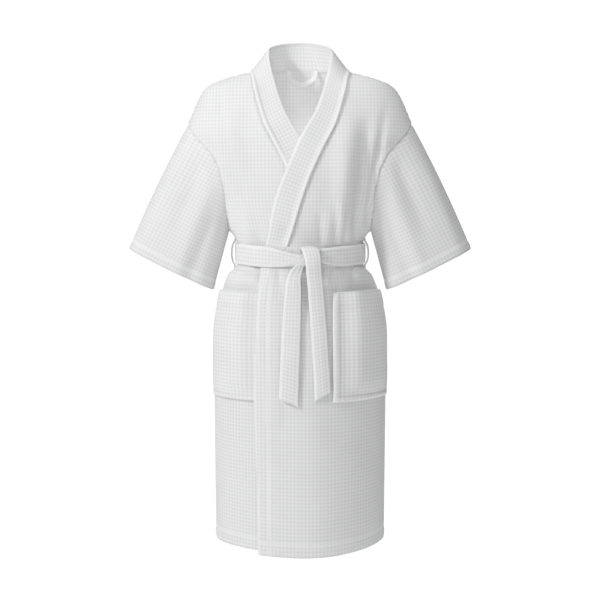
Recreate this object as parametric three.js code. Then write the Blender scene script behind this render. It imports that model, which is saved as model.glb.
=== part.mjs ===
// A knee-length waffle-weave bathrobe with a wrap front, a band collar, patch pockets and a tied belt.
// It hangs as on a wearer. Millimetres, +Z up, the front faces -Y, and the wearer's left is +X.
// The origin is the middle of the neck opening, level with the nape.
import * as THREE from "three";

// Cloth and clearances
const cloth = 3; // one layer of waffle cloth
const band_cloth = 4; // the doubled collar band
const belt_cloth = 3.5; // the doubled belt
const seam_gap = 0.4; // air along an edge where two pieces are sewn together
const seat_gap = 0.6; // air under a piece that lies on the cloth
const wrap_lift = 5.5; // how far the over front stands off the under front where they cross
const pocket_lift = 2.6; // how much more it rises over the edge of the pocket under it

// The body
const robe_length = 1070; // nape to hem at the side seams
const front_drop = 12; // how much lower the over front hangs at its edge
const neck_half_width = 110;
const neck_drop = 9.5; // nape to the top of the shoulder seam
const neck_depth = 66; // shoulder line back to the nape
const shoulder_half_width = 213; // where the shoulder turns down
const shoulder_fall = 40; // top of the shoulder seam to that turn
const armhole_top = { x: 250, z: -125 };
const armhole_bottom = { x: 160, z: -362 };
const armhole_half_depth = 62;
const waist_half_width = 142;
const waist_front = 92;
const waist_back = 86;
const chest_front = 104;
const chest_back = 104;
const hip_half_width = 196;
const hip_front = 117;
const hip_back = 122;
const hem_half_width = 195;

// The sleeves
const sleeve_length = 310; // along the outer edge, from the top of the armhole
const sleeve_angle = 26.2; // degrees from straight down
const sleeve_hem_width = 211.5;
const sleeve_hem_half_depth = 46;
const sleeve_bulge = 4;

// The collar band
const band_stand = 64; // height at the nape
const band_free_edge_bottom = -79; // where its free edge meets the belt
const band_seam_bottom = -37;

// The belt
const belt_height = -414; // middle of the belt
const belt_width = 46;
const belt_sag = 6; // how much lower it runs at the front
const knot_size = { x: 58, y: 24, z: 54 };
const knot_middle = 17;

// Pockets
const pocket_top = -496;
const pocket_height = 238;
const pocket_inner_edge = 69.5;
const pocket_outer_turn = 80; // degrees round from the front
const pocket_room = 13; // how far its mouth stands open

// Small loops
const loop_strap = 10; // width of the hanging loop's strap
const loop_strap_cloth = 2.5;
const loop_width = 74;
const loop_depth = 34;
const loop_middle = 4;
const loop_lean = 8; // degrees forward from straight down
const belt_loop_strap = { y: 10, thick: 3.5 };
const belt_loop_slack = 8; // air between the belt and its loop
const belt_loop_reach = 7; // how far each end is sewn beyond the belt

// The mesh
const armhole_rows = 12;
const front_columns = 10;
const neck_columns = 10;
const shoulder_columns = 5;
const sleeve_rows = 7;
const band_columns = 3;

const degrees = Math.PI / 180;
const mix = (a, b, t) => a + (b - a) * t;
const clamp = (t) => Math.min(1, Math.max(0, t));
const smooth = (a, b, v) => {
  const t = clamp((v - a) / (b - a));
  return t * t * (3 - 2 * t);
};

// A smooth curve through [position, value] pairs, with positions going down.
function curve(pairs) {
  const slopes = pairs.map((pair, i) => {
    if (i === 0 || i === pairs.length - 1) {
      const [a, b] = i === 0 ? [pairs[0], pairs[1]] : [pairs[i - 1], pair];
      return (b[1] - a[1]) / (b[0] - a[0]);
    }
    const before = (pair[1] - pairs[i - 1][1]) / (pair[0] - pairs[i - 1][0]);
    const after = (pairs[i + 1][1] - pair[1]) / (pairs[i + 1][0] - pair[0]);
    return before * after <= 0 ? 0 : (2 * before * after) / (before + after);
  });
  return (at) => {
    if (at >= pairs[0][0]) return pairs[0][1] + slopes[0] * (at - pairs[0][0]);
    const last = pairs.length - 1;
    if (at <= pairs[last][0]) return pairs[last][1];
    let i = 0;
    while (at < pairs[i + 1][0]) i += 1;
    const [from, to] = [pairs[i], pairs[i + 1]];
    const span = to[0] - from[0];
    const t = (at - from[0]) / span;
    return (
      from[1] * (1 + 2 * t) * (1 - t) ** 2 +
      slopes[i] * span * t * (1 - t) ** 2 +
      to[1] * t * t * (3 - 2 * t) +
      slopes[i + 1] * span * t * t * (t - 1)
    );
  };
}

// Heights that several pieces share
const belt_top = belt_height + belt_width / 2;
const belt_bottom = belt_height - belt_width / 2;
const loop_high = belt_top + 3 + belt_loop_reach;
const loop_low = belt_bottom - 3 - belt_loop_reach;
const hip_height = belt_height - 0.28 * (robe_length + belt_height);
const turn_height = -neck_drop - shoulder_fall;
const pocket_bottom = pocket_top - pocket_height;

// Half the width at a height: neck, shoulder line, armhole line, then the side seam.
const shoulder_width = curve([
  [0, neck_half_width - 8],
  [-neck_drop, neck_half_width],
  [mix(-neck_drop, turn_height, 0.33), mix(neck_half_width, shoulder_half_width, 0.46)],
  [mix(-neck_drop, turn_height, 0.67), mix(neck_half_width, shoulder_half_width, 0.82)],
  [turn_height, shoulder_half_width],
  [mix(turn_height, armhole_top.z, 0.35), mix(shoulder_half_width, armhole_top.x, 0.43)],
  [armhole_top.z, armhole_top.x],
]);
const armhole_fall = armhole_top.z - armhole_bottom.z;
const armhole_span = armhole_top.x - armhole_bottom.x;
const armhole_line = curve(
  [
    [0, 1],
    [0.11, 0.81],
    [0.2, 0.58],
    [0.3, 0.355],
    [0.49, 0.145],
    [0.74, 0.045],
    [1, 0],
  ].map(([down, out]) => [armhole_top.z - down * armhole_fall, armhole_bottom.x + out * armhole_span])
);
const side_width = curve([
  [armhole_bottom.z, armhole_bottom.x],
  [mix(armhole_bottom.z, belt_top, 0.4), mix(armhole_bottom.x, waist_half_width, 0.55)],
  [belt_top, waist_half_width],
  [belt_bottom, waist_half_width],
  [belt_bottom - 29, mix(waist_half_width, hip_half_width, 0.42)],
  [belt_bottom - 84, mix(waist_half_width, hip_half_width, 0.76)],
  [hip_height, hip_half_width - 2],
  [hip_height - 150, hip_half_width],
  [-robe_length, hem_half_width],
]);

function halfWidth(z) {
  if (z >= armhole_top.z) return shoulder_width(z);
  return z >= armhole_bottom.z ? armhole_line(z) : side_width(z);
}

const front_depth = curve([
  [0, 18],
  [-neck_drop, 28],
  [-50, 58],
  [-76, 70],
  [armhole_top.z, 0.83 * chest_front],
  [-180, 0.935 * chest_front],
  [-250, chest_front],
  [-330, 0.99 * chest_front],
  [belt_top, waist_front + 2],
  [belt_bottom, waist_front + 1],
  [hip_height, hip_front - 4],
  [-750, hip_front],
  [-robe_length, hip_front + 3],
]);
const back_depth = curve([
  [0, neck_depth],
  [-37, neck_depth + 10],
  [-76, neck_depth + 22],
  [armhole_top.z, 0.94 * chest_back],
  [-180, chest_back],
  [-250, chest_back],
  [-330, 0.93 * chest_back],
  [belt_top, waist_back + 2],
  [belt_bottom, waist_back + 1],
  [hip_height, hip_back - 4],
  [-750, hip_back],
  [-robe_length, hip_back],
]);

// The square of the depth at x and z. Side is -1 for the front and 1 for the back.
function depthSquared(x, z, side) {
  const down = (armhole_top.z - z) / armhole_fall;
  const ring = down > 0 && down < 1 ? 4 * armhole_half_depth ** 2 * down * (1 - down) : 0;
  const full = (side < 0 ? front_depth(z) : back_depth(z)) ** 2;
  return ring + (full - ring) * (1 - (x / halfWidth(z)) ** 2);
}

function bodyPoint(x, z, side) {
  return new THREE.Vector3(x, side * Math.sqrt(Math.max(0, depthSquared(x, z, side))), z);
}

// The outward direction there, from the slope of the depth squared.
function bodyNormal(x, z, side) {
  const step = 0.5;
  const along = (depthSquared(x + step, z, side) - depthSquared(x - step, z, side)) / (2 * step);
  const up = (depthSquared(x, z + step, side) - depthSquared(x, z - step, side)) / (2 * step);
  const y = bodyPoint(x, z, side).y;
  return new THREE.Vector3(-along, 2 * y, -up).normalize();
}

// One closed sheet with a wall, from matching grids of outer and inner points.
// A ring of cloth closes round its columns.
function sheet(outer, inner, ring = false) {
  const rows = outer.length;
  const columns = outer[0].length;
  const points = [...outer.flat(), ...inner.flat()];
  const out = (r, c) => r * columns + (c % columns);
  const back = (r, c) => rows * columns + out(r, c);
  const index = [];
  const quad = (a, b, c, d) => index.push(a, b, c, a, c, d);
  const steps = ring ? columns : columns - 1;
  for (let r = 0; r < rows - 1; r += 1) {
    for (let c = 0; c < steps; c += 1) {
      quad(out(r, c), out(r + 1, c), out(r + 1, c + 1), out(r, c + 1));
      quad(back(r, c), back(r, c + 1), back(r + 1, c + 1), back(r + 1, c));
    }
  }
  for (let c = 0; c < steps; c += 1) {
    quad(out(0, c), out(0, c + 1), back(0, c + 1), back(0, c));
    quad(out(rows - 1, c + 1), out(rows - 1, c), back(rows - 1, c), back(rows - 1, c + 1));
  }
  if (!ring) {
    const end = columns - 1;
    for (let r = 0; r < rows - 1; r += 1) {
      quad(out(r + 1, 0), out(r, 0), back(r, 0), back(r + 1, 0));
      quad(out(r, end), out(r + 1, end), back(r + 1, end), back(r, end));
    }
  }
  return closedMesh(points, index);
}

// The faces are turned outwards if the volume they enclose comes out negative.
function closedMesh(points, index) {
  let volume = 0;
  for (let i = 0; i < index.length; i += 3) {
    const [a, b, c] = [points[index[i]], points[index[i + 1]], points[index[i + 2]]];
    volume += a.dot(b.clone().cross(c));
  }
  const turned = [];
  for (let i = 0; i < index.length; i += 3) {
    turned.push(index[i], index[i + 1], index[i + 2]);
    if (volume < 0) turned.splice(i + 1, 2, index[i + 2], index[i + 1]);
  }
  const geometry = new THREE.BufferGeometry();
  geometry.setAttribute("position", new THREE.Float32BufferAttribute(points.flatMap((p) => p.toArray()), 3));
  geometry.setIndex(turned);
  geometry.computeVertexNormals();
  return geometry;
}

const group = new THREE.Group();

function add(name, geometry, colour = 0xf4f4f2) {
  const material = new THREE.MeshStandardMaterial({ color: colour, roughness: 0.9, metalness: 0 });
  const mesh = new THREE.Mesh(geometry, material);
  mesh.name = name;
  group.add(mesh);
}

// The armhole: turn 0 is its top, half a turn its bottom, and the front lies between them.
function armholePoint(turn) {
  const z = armhole_top.z - (armhole_fall * (1 - Math.cos(turn))) / 2;
  return new THREE.Vector3(halfWidth(z), -armhole_half_depth * Math.sin(turn), z);
}

const sleeve_way = new THREE.Vector3(Math.sin(sleeve_angle * degrees), 0, -Math.cos(sleeve_angle * degrees));
const sleeve_across = new THREE.Vector3(sleeve_way.z, 0, -sleeve_way.x);
const sleeve_start = new THREE.Vector3(armhole_top.x, 0, armhole_top.z);
const sleeve_hem_top = sleeve_start.clone().addScaledVector(sleeve_way, sleeve_length);

function sleevePoint(turn, along) {
  const from_top = (sleeve_hem_width * (1 - Math.cos(turn))) / 2;
  const hem = sleeve_hem_top.clone().addScaledVector(sleeve_across, from_top);
  hem.y = -sleeve_hem_half_depth * Math.sin(turn);
  const point = armholePoint(turn).lerp(hem, along);
  const swell = sleeve_bulge * Math.sin(Math.PI * along) * Math.cos(turn);
  return point.addScaledVector(sleeve_across, -Math.max(0, swell));
}

function sleeveNormal(turn, along) {
  const step = 0.01;
  const from = Math.max(0, along - step);
  const to = Math.min(1, along + step);
  const round = sleevePoint(turn + step, along).sub(sleevePoint(turn - step, along));
  const down = sleevePoint(turn, to).sub(sleevePoint(turn, from));
  return round.cross(down).normalize();
}

// Both the body and the sleeve end square to this direction at the armhole.
function armholeNormal(turn) {
  const step = 0.01;
  const point = armholePoint(turn);
  const side = Math.sin(turn) < -1e-9 ? 1 : -1;
  const way = armholePoint(turn + step).sub(armholePoint(turn - step)).normalize();
  const normal = bodyNormal(point.x, point.z, side).add(sleeveNormal(turn, 0));
  return normal.addScaledVector(way, -normal.dot(way)).normalize();
}

// How far down a row lies from the top edge to the bottom of the armhole, as the armhole's rows do.
const armhole_share = [...Array(armhole_rows + 1).keys()].map(
  (i) => (1 - Math.cos((Math.PI * i) / armhole_rows)) / 2
);
const lower_rows = [
  loop_high,
  belt_top,
  belt_height,
  belt_bottom,
  loop_low,
  belt_bottom - 24,
  belt_bottom - 54,
  belt_bottom - 90,
  belt_bottom - 130,
  hip_height,
  mix(hip_height, -robe_length, 0.16),
  mix(hip_height, -robe_length, 0.33),
  mix(hip_height, -robe_length, 0.55),
  mix(hip_height, -robe_length, 0.78),
  -robe_length,
];

// The height of the shoulder line at a given x.
function shoulderHeight(x) {
  let [high, low] = [0, armhole_top.z];
  for (let i = 0; i < 40; i += 1) {
    const middle = (high + low) / 2;
    if (shoulder_width(middle) < x) high = middle;
    else low = middle;
  }
  return (high + low) / 2;
}

// The neck seam's x on the over front: along the collar to the belt, then the front's own free edge.
const neck_seam = curve([
  [-neck_drop, neck_half_width],
  [-24, 104],
  [-59, 95],
  [-125, 75],
  [-188, 43],
  [-261, 11],
  [belt_top, band_seam_bottom + 8],
  [belt_height, band_seam_bottom],
  [belt_bottom, band_free_edge_bottom - 4],
  [-560, -93],
  [-730, -98],
  [-robe_length, -91],
]);

// How far the over front is lifted off the body. It lies flat again before its side seam,
// and its edge rises over the pocket that it covers.
function lift(x, z, over) {
  if (!over) return 0;
  const beside = smooth(-pocket_inner_edge + 40, -pocket_inner_edge + 18, x);
  const above_bottom = smooth(pocket_bottom - 70, pocket_bottom - 30, z);
  const level = above_bottom * (1 - smooth(pocket_top + 8, pocket_top + 30, z));
  const wrap = (1 - smooth(104, 150, x)) * (1 - smooth(-150, -90, z));
  return wrap_lift * wrap + pocket_lift * beside * level;
}

function frontPanel(over) {
  const hand = over ? 1 : -1;
  const shoulder_x = [...Array(front_columns + 1).keys()].map((j) =>
    mix(neck_half_width, armhole_top.x, j / front_columns)
  );
  const outer = [];
  const inner = [];
  const row = (heights, xs, turn) => {
    const faces = heights.map((z, j) => {
      const x = xs[j];
      const hem = over ? front_drop * (1 - (x / halfWidth(z)) ** 2) * (z / robe_length) ** 8 : 0;
      const raised = lift(x, z, over);
      const edge = turn !== null && j === front_columns;
      const normal = edge ? armholeNormal(turn) : bodyNormal(x, z, -1);
      const place = (offset) => {
        const p = bodyPoint(x, z, -1).addScaledVector(normal, raised + offset);
        return new THREE.Vector3(hand * p.x, p.y - seam_gap / 2, p.z - hem);
      };
      return [place(0), place(-cloth)];
    });
    outer.push(faces.map((pair) => pair[0]));
    inner.push(faces.map((pair) => pair[1]));
  };
  const across = (start, z, j) => {
    const wide = halfWidth(z);
    const turn = Math.asin(start / wide);
    return wide * Math.sin(mix(turn, Math.PI / 2, j / front_columns));
  };
  armhole_share.forEach((share, i) => {
    const heights = shoulder_x.map((x) => mix(shoulderHeight(x), armhole_bottom.z, share));
    const edge_start = neck_seam(heights[0]);
    const edge_end = armhole_line(heights[front_columns]);
    const xs = shoulder_x.map((x, j) => {
      const top = (x - neck_half_width) / (armhole_top.x - neck_half_width);
      const low = (across(neck_seam(armhole_bottom.z), armhole_bottom.z, j) - neck_seam(armhole_bottom.z)) /
        (armhole_bottom.x - neck_seam(armhole_bottom.z));
      return mix(edge_start, edge_end, mix(top, low, share));
    });
    row(heights, xs, (Math.PI * i) / armhole_rows);
  });
  lower_rows.forEach((z) => {
    const xs = shoulder_x.map((_, j) => across(neck_seam(z), z, j));
    row(shoulder_x.map(() => z), xs, null);
  });
  return sheet(outer, inner);
}

// Where the back's columns start: along one shoulder, round the neck and along the other shoulder.
const back_top = [];
for (let j = 0; j < shoulder_columns; j += 1) {
  const x = mix(armhole_top.x, neck_half_width, j / shoulder_columns);
  back_top.push({ x: -x, z: shoulderHeight(x) });
}
for (let j = 0; j <= neck_columns; j += 1) {
  const x = -neck_half_width * Math.cos((Math.PI * j) / neck_columns);
  back_top.push({ x, z: -neck_drop * (x / neck_half_width) ** 2 });
}
for (let j = shoulder_columns - 1; j >= 0; j -= 1) back_top.push({ x: -back_top[j].x, z: back_top[j].z });

function backPanel() {
  const last = back_top.length - 1;
  const turns = back_top.map((_, j) => mix(-Math.PI / 2, Math.PI / 2, j / last));
  const outer = [];
  const inner = [];
  const row = (heights, xs, turn) => {
    const faces = heights.map((z, j) => {
      let normal = bodyNormal(xs[j], z, 1);
      if (turn !== null && (j === 0 || j === last)) {
        normal = armholeNormal(-turn);
        normal.x *= Math.sign(xs[j]);
      }
      const place = (offset) => {
        const p = bodyPoint(xs[j], z, 1).addScaledVector(normal, offset);
        p.y += seam_gap / 2;
        return p;
      };
      return [place(0), place(-cloth)];
    });
    outer.push(faces.map((pair) => pair[0]));
    inner.push(faces.map((pair) => pair[1]));
  };
  armhole_share.forEach((share, i) => {
    const heights = back_top.map((top) => mix(top.z, armhole_bottom.z, share));
    const xs = back_top.map((top, j) =>
      mix(top.x / armhole_top.x, Math.sin(turns[j]), share) * armhole_line(heights[0])
    );
    row(heights, xs, (Math.PI * i) / armhole_rows);
  });
  lower_rows.forEach((z) =>
    row(
      turns.map(() => z),
      turns.map((turn) => halfWidth(z) * Math.sin(turn)),
      null
    )
  );
  return sheet(outer, inner);
}

function sleeve(hand) {
  const outer = [];
  const inner = [];
  const out = new THREE.Vector3(armhole_fall, 0, -armhole_span).normalize();
  for (let r = 0; r <= sleeve_rows; r += 1) {
    const along = r / sleeve_rows;
    const faces = [];
    for (let c = 0; c < 2 * armhole_rows; c += 1) {
      const turn = (Math.PI * c) / armhole_rows;
      const normal = r === 0 ? armholeNormal(turn) : sleeveNormal(turn, along);
      const base = sleevePoint(turn, along).addScaledVector(out, seam_gap);
      const place = (offset) => {
        const p = base.clone().addScaledVector(normal, offset);
        p.x *= hand;
        return p;
      };
      faces.push([place(0), place(-cloth)]);
    }
    outer.push(faces.map((pair) => pair[0]));
    inner.push(faces.map((pair) => pair[1]));
  }
  return sheet(outer, inner, true);
}

// The collar band's free edge: its x at a height, then how far each point lies above its seam point.
const band_free_edge = curve([
  [40, 69],
  [22, 68],
  [0, 64],
  [-29, 57],
  [-95, 36],
  [-165, -2],
  [-218, -25],
  [-301, -56],
  [belt_top, band_free_edge_bottom + 6],
  [belt_height, band_free_edge_bottom],
]);
const band_rise = curve([
  [-neck_drop, 49.5],
  [-24, 46],
  [-59, 30],
  [-125, 24],
  [-188, 22],
  [-261, 18],
  [belt_top, 8],
  [belt_height, 0],
]);
const band_side = curve([
  [40, 2],
  [22, -14],
  [0, -30],
  [-29, -44],
  [-60, -61],
]);

// One station of the band on a front: its seam point, the cloth's direction there, and the free edge.
function frontStation(z, over) {
  const x = z >= -neck_drop ? neck_half_width : neck_seam(z);
  const high = z + band_rise(z);
  const edge = new THREE.Vector3(band_free_edge(high), 0, high);
  const seam = bodyPoint(x, z, -1);
  const on_chest = 1 - smooth(-90, -35, high);
  edge.y = mix(band_side(high), bodyPoint(edge.x, high, -1).y, on_chest);
  return { seam, edge, normal: bodyNormal(x, z, -1), over, front: true };
}

function collarBand() {
  const heights = [belt_height, belt_top, loop_high];
  [...armhole_share].reverse().forEach((share) => heights.push(mix(-neck_drop, armhole_bottom.z, share)));
  const left = heights.map((z) => frontStation(z, true));
  const right = heights.map((z) => frontStation(z, false)).reverse();
  const back = [];
  for (let j = 1; j < neck_columns; j += 1) {
    const turn = (Math.PI * j) / neck_columns;
    const x = neck_half_width * Math.cos(turn);
    const z = -neck_drop * (x / neck_half_width) ** 2;
    const edge = new THREE.Vector3(
      band_free_edge(40) * Math.cos(turn),
      band_side(40) + (neck_depth - 4) * Math.sin(turn),
      mix(40, band_stand, Math.sin(turn))
    );
    back.push({ seam: bodyPoint(x, z, 1), edge, normal: bodyNormal(x, z, 1), over: false, front: false });
  }
  const stations = [...left, ...back, ...right];
  const middles = stations.map((station, i) => {
    const mirror = i >= left.length + back.length ? -1 : 1;
    const line = [];
    for (let c = 0; c <= band_columns; c += 1) {
      const t = c / band_columns;
      const p = station.seam.clone().lerp(station.edge, t);
      if (station.front) p.y = mix(bodyPoint(p.x, p.z, -1).y, p.y, smooth(-90, -35, p.z));
      p.y += station.front ? -seam_gap / 2 : seam_gap / 2;
      line.push(new THREE.Vector3(mirror * p.x, p.y, p.z));
    }
    return line;
  });
  const at = (i, c) => middles[Math.min(middles.length - 1, Math.max(0, i))][c];
  const outer = [];
  const inner = [];
  middles.forEach((line, i) => {
    const { normal, over } = stations[i];
    const mirror = i >= left.length + back.length ? -1 : 1;
    const faces = line.map((p, c) => {
      const along = at(i + 1, c).clone().sub(at(i - 1, c));
      const across = line[Math.min(band_columns, c + 1)].clone().sub(line[Math.max(0, c - 1)]);
      const seam_way = new THREE.Vector3(mirror * normal.x, normal.y, normal.z);
      const facing = c === 0 ? seam_way : along.clone().cross(across).normalize();
      const base = p.clone();
      if (c === 0) {
        const inwards = across.clone().addScaledVector(facing, -across.dot(facing));
        inwards.addScaledVector(along, -inwards.dot(along) / along.lengthSq());
        base.addScaledVector(inwards.normalize(), 2 * seam_gap);
      }
      const raised = lift(p.x, p.z, over);
      const extra = c === 0 ? 0 : (band_cloth - cloth) / 2;
      return [extra, -cloth - extra].map((offset) => base.clone().addScaledVector(facing, raised + offset));
    });
    outer.push(faces.map((pair) => pair[0]));
    inner.push(faces.map((pair) => pair[1]));
  });
  return sheet(outer, inner);
}

// A patch pocket is sewn at both sides and along its bottom, and stands open at its mouth.
function pocket(over) {
  const hand = over ? 1 : -1;
  const steps = 10;
  const outer = [];
  const inner = [];
  for (let r = 0; r <= steps; r += 1) {
    const down = r / steps;
    const z = pocket_top - pocket_height * down;
    const start = Math.asin(pocket_inner_edge / halfWidth(z));
    const end = pocket_outer_turn * degrees;
    // The mouth opens only beyond the over front's edge, which lies on the other pocket.
    const over_edge = Math.asin(-neck_seam(z) / halfWidth(z));
    const opens_at = Math.max(0.12, (over_edge - start) / (end - start));
    const faces = [];
    for (let c = 0; c <= steps; c += 1) {
      const turn = mix(start, end, c / steps);
      const x = halfWidth(z) * Math.sin(turn);
      const from_inner = smooth(opens_at, opens_at + 0.23, c / steps);
      const open = from_inner * smooth(0, 0.2, 1 - c / steps) * smooth(0, 0.2, 1 - down);
      const offset = lift(x, z, over) + seat_gap + pocket_room * open;
      const normal = bodyNormal(x, z, -1);
      faces.push(
        [offset + cloth, offset].map((out) => {
          const p = bodyPoint(x, z, -1).addScaledVector(normal, out);
          return new THREE.Vector3(hand * p.x, p.y - seam_gap / 2, p.z);
        })
      );
    }
    outer.push(faces.map((pair) => pair[0]));
    inner.push(faces.map((pair) => pair[1]));
  }
  return sheet(outer, inner);
}

// How far out of the body the belt's inner face runs.
const belt_steps = 44;
function beltOffset(x, front) {
  if (!front) return seat_gap;
  const over_edge = smooth(band_free_edge_bottom - 40, band_free_edge_bottom - 14, x);
  return seat_gap + (lift(x, belt_height, true) + band_cloth - cloth) * over_edge;
}

function beltWrap() {
  const outer = [];
  const inner = [];
  [belt_width / 2, 0, -belt_width / 2].forEach((up) => {
    const faces = [];
    for (let c = 0; c < belt_steps; c += 1) {
      const turn = (2 * Math.PI * c) / belt_steps;
      const front = Math.cos(turn) > 1e-9;
      const z = belt_height + up - (front ? belt_sag * Math.cos(turn) ** 2 : 0);
      const x = halfWidth(z) * Math.sin(turn);
      const side = front ? -1 : 1;
      const offset = beltOffset(x, front);
      faces.push(
        [offset + belt_cloth, offset].map((out) => {
          const p = bodyPoint(x, z, side).addScaledVector(bodyNormal(x, z, side), out);
          p.y += (side * seam_gap) / 2;
          return p;
        })
      );
    }
    outer.push(faces.map((pair) => pair[0]));
    inner.push(faces.map((pair) => pair[1]));
  });
  return sheet(outer, inner, true);
}

// The knot lies on the front of the belt: a rounded block, square-shouldered as seen from the front.
const belt_face =
  bodyPoint(knot_middle, belt_height, -1).y - beltOffset(knot_middle, true) - belt_cloth - seam_gap / 2;
const knot_height = belt_height - belt_sag + 1;
const knot_depth = belt_face - seat_gap - knot_size.y / 2;

function beltKnot() {
  const geometry = new THREE.SphereGeometry(1, 20, 14);
  const place = geometry.getAttribute("position");
  const p = new THREE.Vector3();
  for (let i = 0; i < place.count; i += 1) {
    p.fromBufferAttribute(place, i);
    p.divideScalar(Math.sqrt(Math.sqrt(p.x ** 4 + p.z ** 4) + p.y ** 2));
    place.setXYZ(i, (p.x * knot_size.x) / 2, (p.y * knot_size.y) / 2, (p.z * knot_size.z) / 2);
  }
  geometry.translate(knot_middle, knot_depth, knot_height);
  return geometry;
}

// Each end of the belt hangs from under the knot, just clear of the skirt, and is cut at a slant.
const tail_top = knot_height - knot_size.z / 2 - seat_gap;
const tails = {
  left: { top: 26, bottom: 49, top_width: 30, width: 34, length: 276, slant: 20 },
  right: { top: -3, bottom: -25, top_width: 20, width: 42, length: 287, slant: -20 },
};

function beltTail({ top, bottom, top_width, width: full_width, length, slant }) {
  const rows = 10;
  const outer = [];
  const inner = [];
  for (let r = 0; r <= rows; r += 1) {
    const t = r / rows;
    const middle = mix(top, bottom, t ** 0.8);
    const width = mix(top_width, full_width, smooth(0, 0.3, t));
    const faces = [-0.5, 0, 0.5].map((share) => {
      const x = middle + share * width;
      const z = tail_top - t * (length - share * slant);
      const skirt = bodyPoint(x, z, -1).y - lift(x, z, true) - 2;
      const y = Math.min(mix(knot_depth, skirt, smooth(0, 0.5, t)), skirt);
      return [new THREE.Vector3(x, y - belt_cloth, z), new THREE.Vector3(x, y, z)];
    });
    outer.push(faces.map((pair) => pair[0]));
    inner.push(faces.map((pair) => pair[1]));
  }
  return sheet(outer, inner);
}

// A belt loop is a narrow strip, sewn to the side seam above and below the belt.
function beltLoop(hand) {
  const top = loop_high - belt_loop_reach;
  const bottom = loop_low + belt_loop_reach;
  const start = waist_half_width + seat_gap + belt_cloth + 1;
  const steps = 12;
  const near = [];
  const far = [];
  const end = (z) => {
    near.push([halfWidth(z) + seam_gap, z]);
    far.push([halfWidth(z) + seam_gap + belt_loop_strap.thick, z]);
  };
  end(loop_high);
  for (let i = 0; i <= steps; i += 1) {
    const arch = Math.sin((Math.PI * i) / steps) ** 0.5;
    const z = mix(top, bottom, i / steps);
    const base = i === 0 || i === steps ? Math.max(start, halfWidth(z) + seam_gap) : start;
    near.push([base + (belt_loop_slack - 1) * arch, z]);
    far.push([base + (belt_loop_slack - 1) * arch + belt_loop_strap.thick, z]);
  }
  end(loop_low);
  const line = (list, y) => list.map(([x, z]) => new THREE.Vector3(hand * x, y, z));
  const rows = [-belt_loop_strap.y / 2, belt_loop_strap.y / 2];
  return sheet(
    rows.map((y) => line(far, y)),
    rows.map((y) => line(near, y))
  );
}

// The hanging loop droops inside the back neck from two ends caught in the collar's seam.
const loop_reach = loop_middle + loop_width / 2;
const loop_top = -neck_drop * (loop_reach / neck_half_width) ** 2 - 2 * seam_gap;
const loop_face = bodyPoint(loop_reach, loop_top, 1).y - cloth - seat_gap - seam_gap - loop_strap_cloth;

function hangingLoop() {
  const steps = 13;
  const arc = (half_width, depth) =>
    [...Array(steps + 1).keys()].map((i) => {
      const turn = (Math.PI * i) / steps;
      return new THREE.Vector2(-half_width * Math.cos(turn), -depth * Math.sin(turn));
    });
  const outside = arc(loop_width / 2, loop_depth);
  const inside = arc(loop_width / 2 - loop_strap, loop_depth - loop_strap).reverse();
  const shape = new THREE.Shape([...outside, ...inside]);
  const geometry = new THREE.ExtrudeGeometry(shape, { depth: loop_strap_cloth, bevelEnabled: false });
  geometry.rotateX(Math.PI / 2);
  geometry.translate(0, loop_strap_cloth, 0);
  geometry.rotateX(-loop_lean * degrees);
  geometry.translate(loop_middle, loop_face, loop_top);
  return geometry;
}

add("back_panel", backPanel());
add("front_panel_left", frontPanel(true), 0xf2f1ee);
add("front_panel_right", frontPanel(false), 0xf2f1ee);
add("sleeve_left", sleeve(1), 0xefefec);
add("sleeve_right", sleeve(-1), 0xefefec);
add("collar_band", collarBand(), 0xf5f5f3);
add("pocket_left", pocket(true), 0xf4f4f2);
add("pocket_right", pocket(false), 0xf4f4f2);
add("belt_wrap", beltWrap(), 0xf3f3f0);
add("belt_knot", beltKnot(), 0xf3f3f0);
add("belt_tail_left", beltTail(tails.left), 0xf3f3f0);
add("belt_tail_right", beltTail(tails.right), 0xf3f3f0);
add("belt_loop_left", beltLoop(1), 0xf6f6f4);
add("belt_loop_right", beltLoop(-1), 0xf6f6f4);
add("hanging_loop", hangingLoop(), 0xf8f8f6);

export default group;
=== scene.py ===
# %% [markdown]
# # A waffle-cloth bathrobe
# A wrap robe is a handful of flat pieces of cloth: a back, two fronts, two sleeves, a long collar band,
# two pockets, a belt and a few narrow strips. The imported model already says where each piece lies.
# This script makes the cloth itself: its square cells, hems, folds, knot and stitching.

# %% The frame, which fixes every size and place
import math

import bpy
import numpy as np
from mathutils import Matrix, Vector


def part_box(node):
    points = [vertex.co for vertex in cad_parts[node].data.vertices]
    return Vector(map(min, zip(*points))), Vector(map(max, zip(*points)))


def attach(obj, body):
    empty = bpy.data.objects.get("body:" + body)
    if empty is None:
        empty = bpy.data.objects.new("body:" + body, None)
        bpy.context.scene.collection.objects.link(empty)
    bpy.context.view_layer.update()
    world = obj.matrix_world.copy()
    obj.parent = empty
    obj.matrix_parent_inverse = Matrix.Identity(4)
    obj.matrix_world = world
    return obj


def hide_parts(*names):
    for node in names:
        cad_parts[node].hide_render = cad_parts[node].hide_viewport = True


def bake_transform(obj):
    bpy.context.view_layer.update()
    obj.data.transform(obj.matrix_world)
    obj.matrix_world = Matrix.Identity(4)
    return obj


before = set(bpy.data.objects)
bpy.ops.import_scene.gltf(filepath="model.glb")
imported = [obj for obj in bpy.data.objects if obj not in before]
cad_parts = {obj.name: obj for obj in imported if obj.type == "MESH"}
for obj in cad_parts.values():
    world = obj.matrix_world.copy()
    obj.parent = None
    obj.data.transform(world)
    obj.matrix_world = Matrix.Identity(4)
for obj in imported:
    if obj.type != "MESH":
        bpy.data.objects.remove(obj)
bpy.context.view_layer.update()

# %% [markdown]
# ## The camera
# The robe is seen from straight in front, a little above its middle, with a lens long enough to keep
# its sides nearly parallel. A camera is only a place, a tilt and a focal length.

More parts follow.
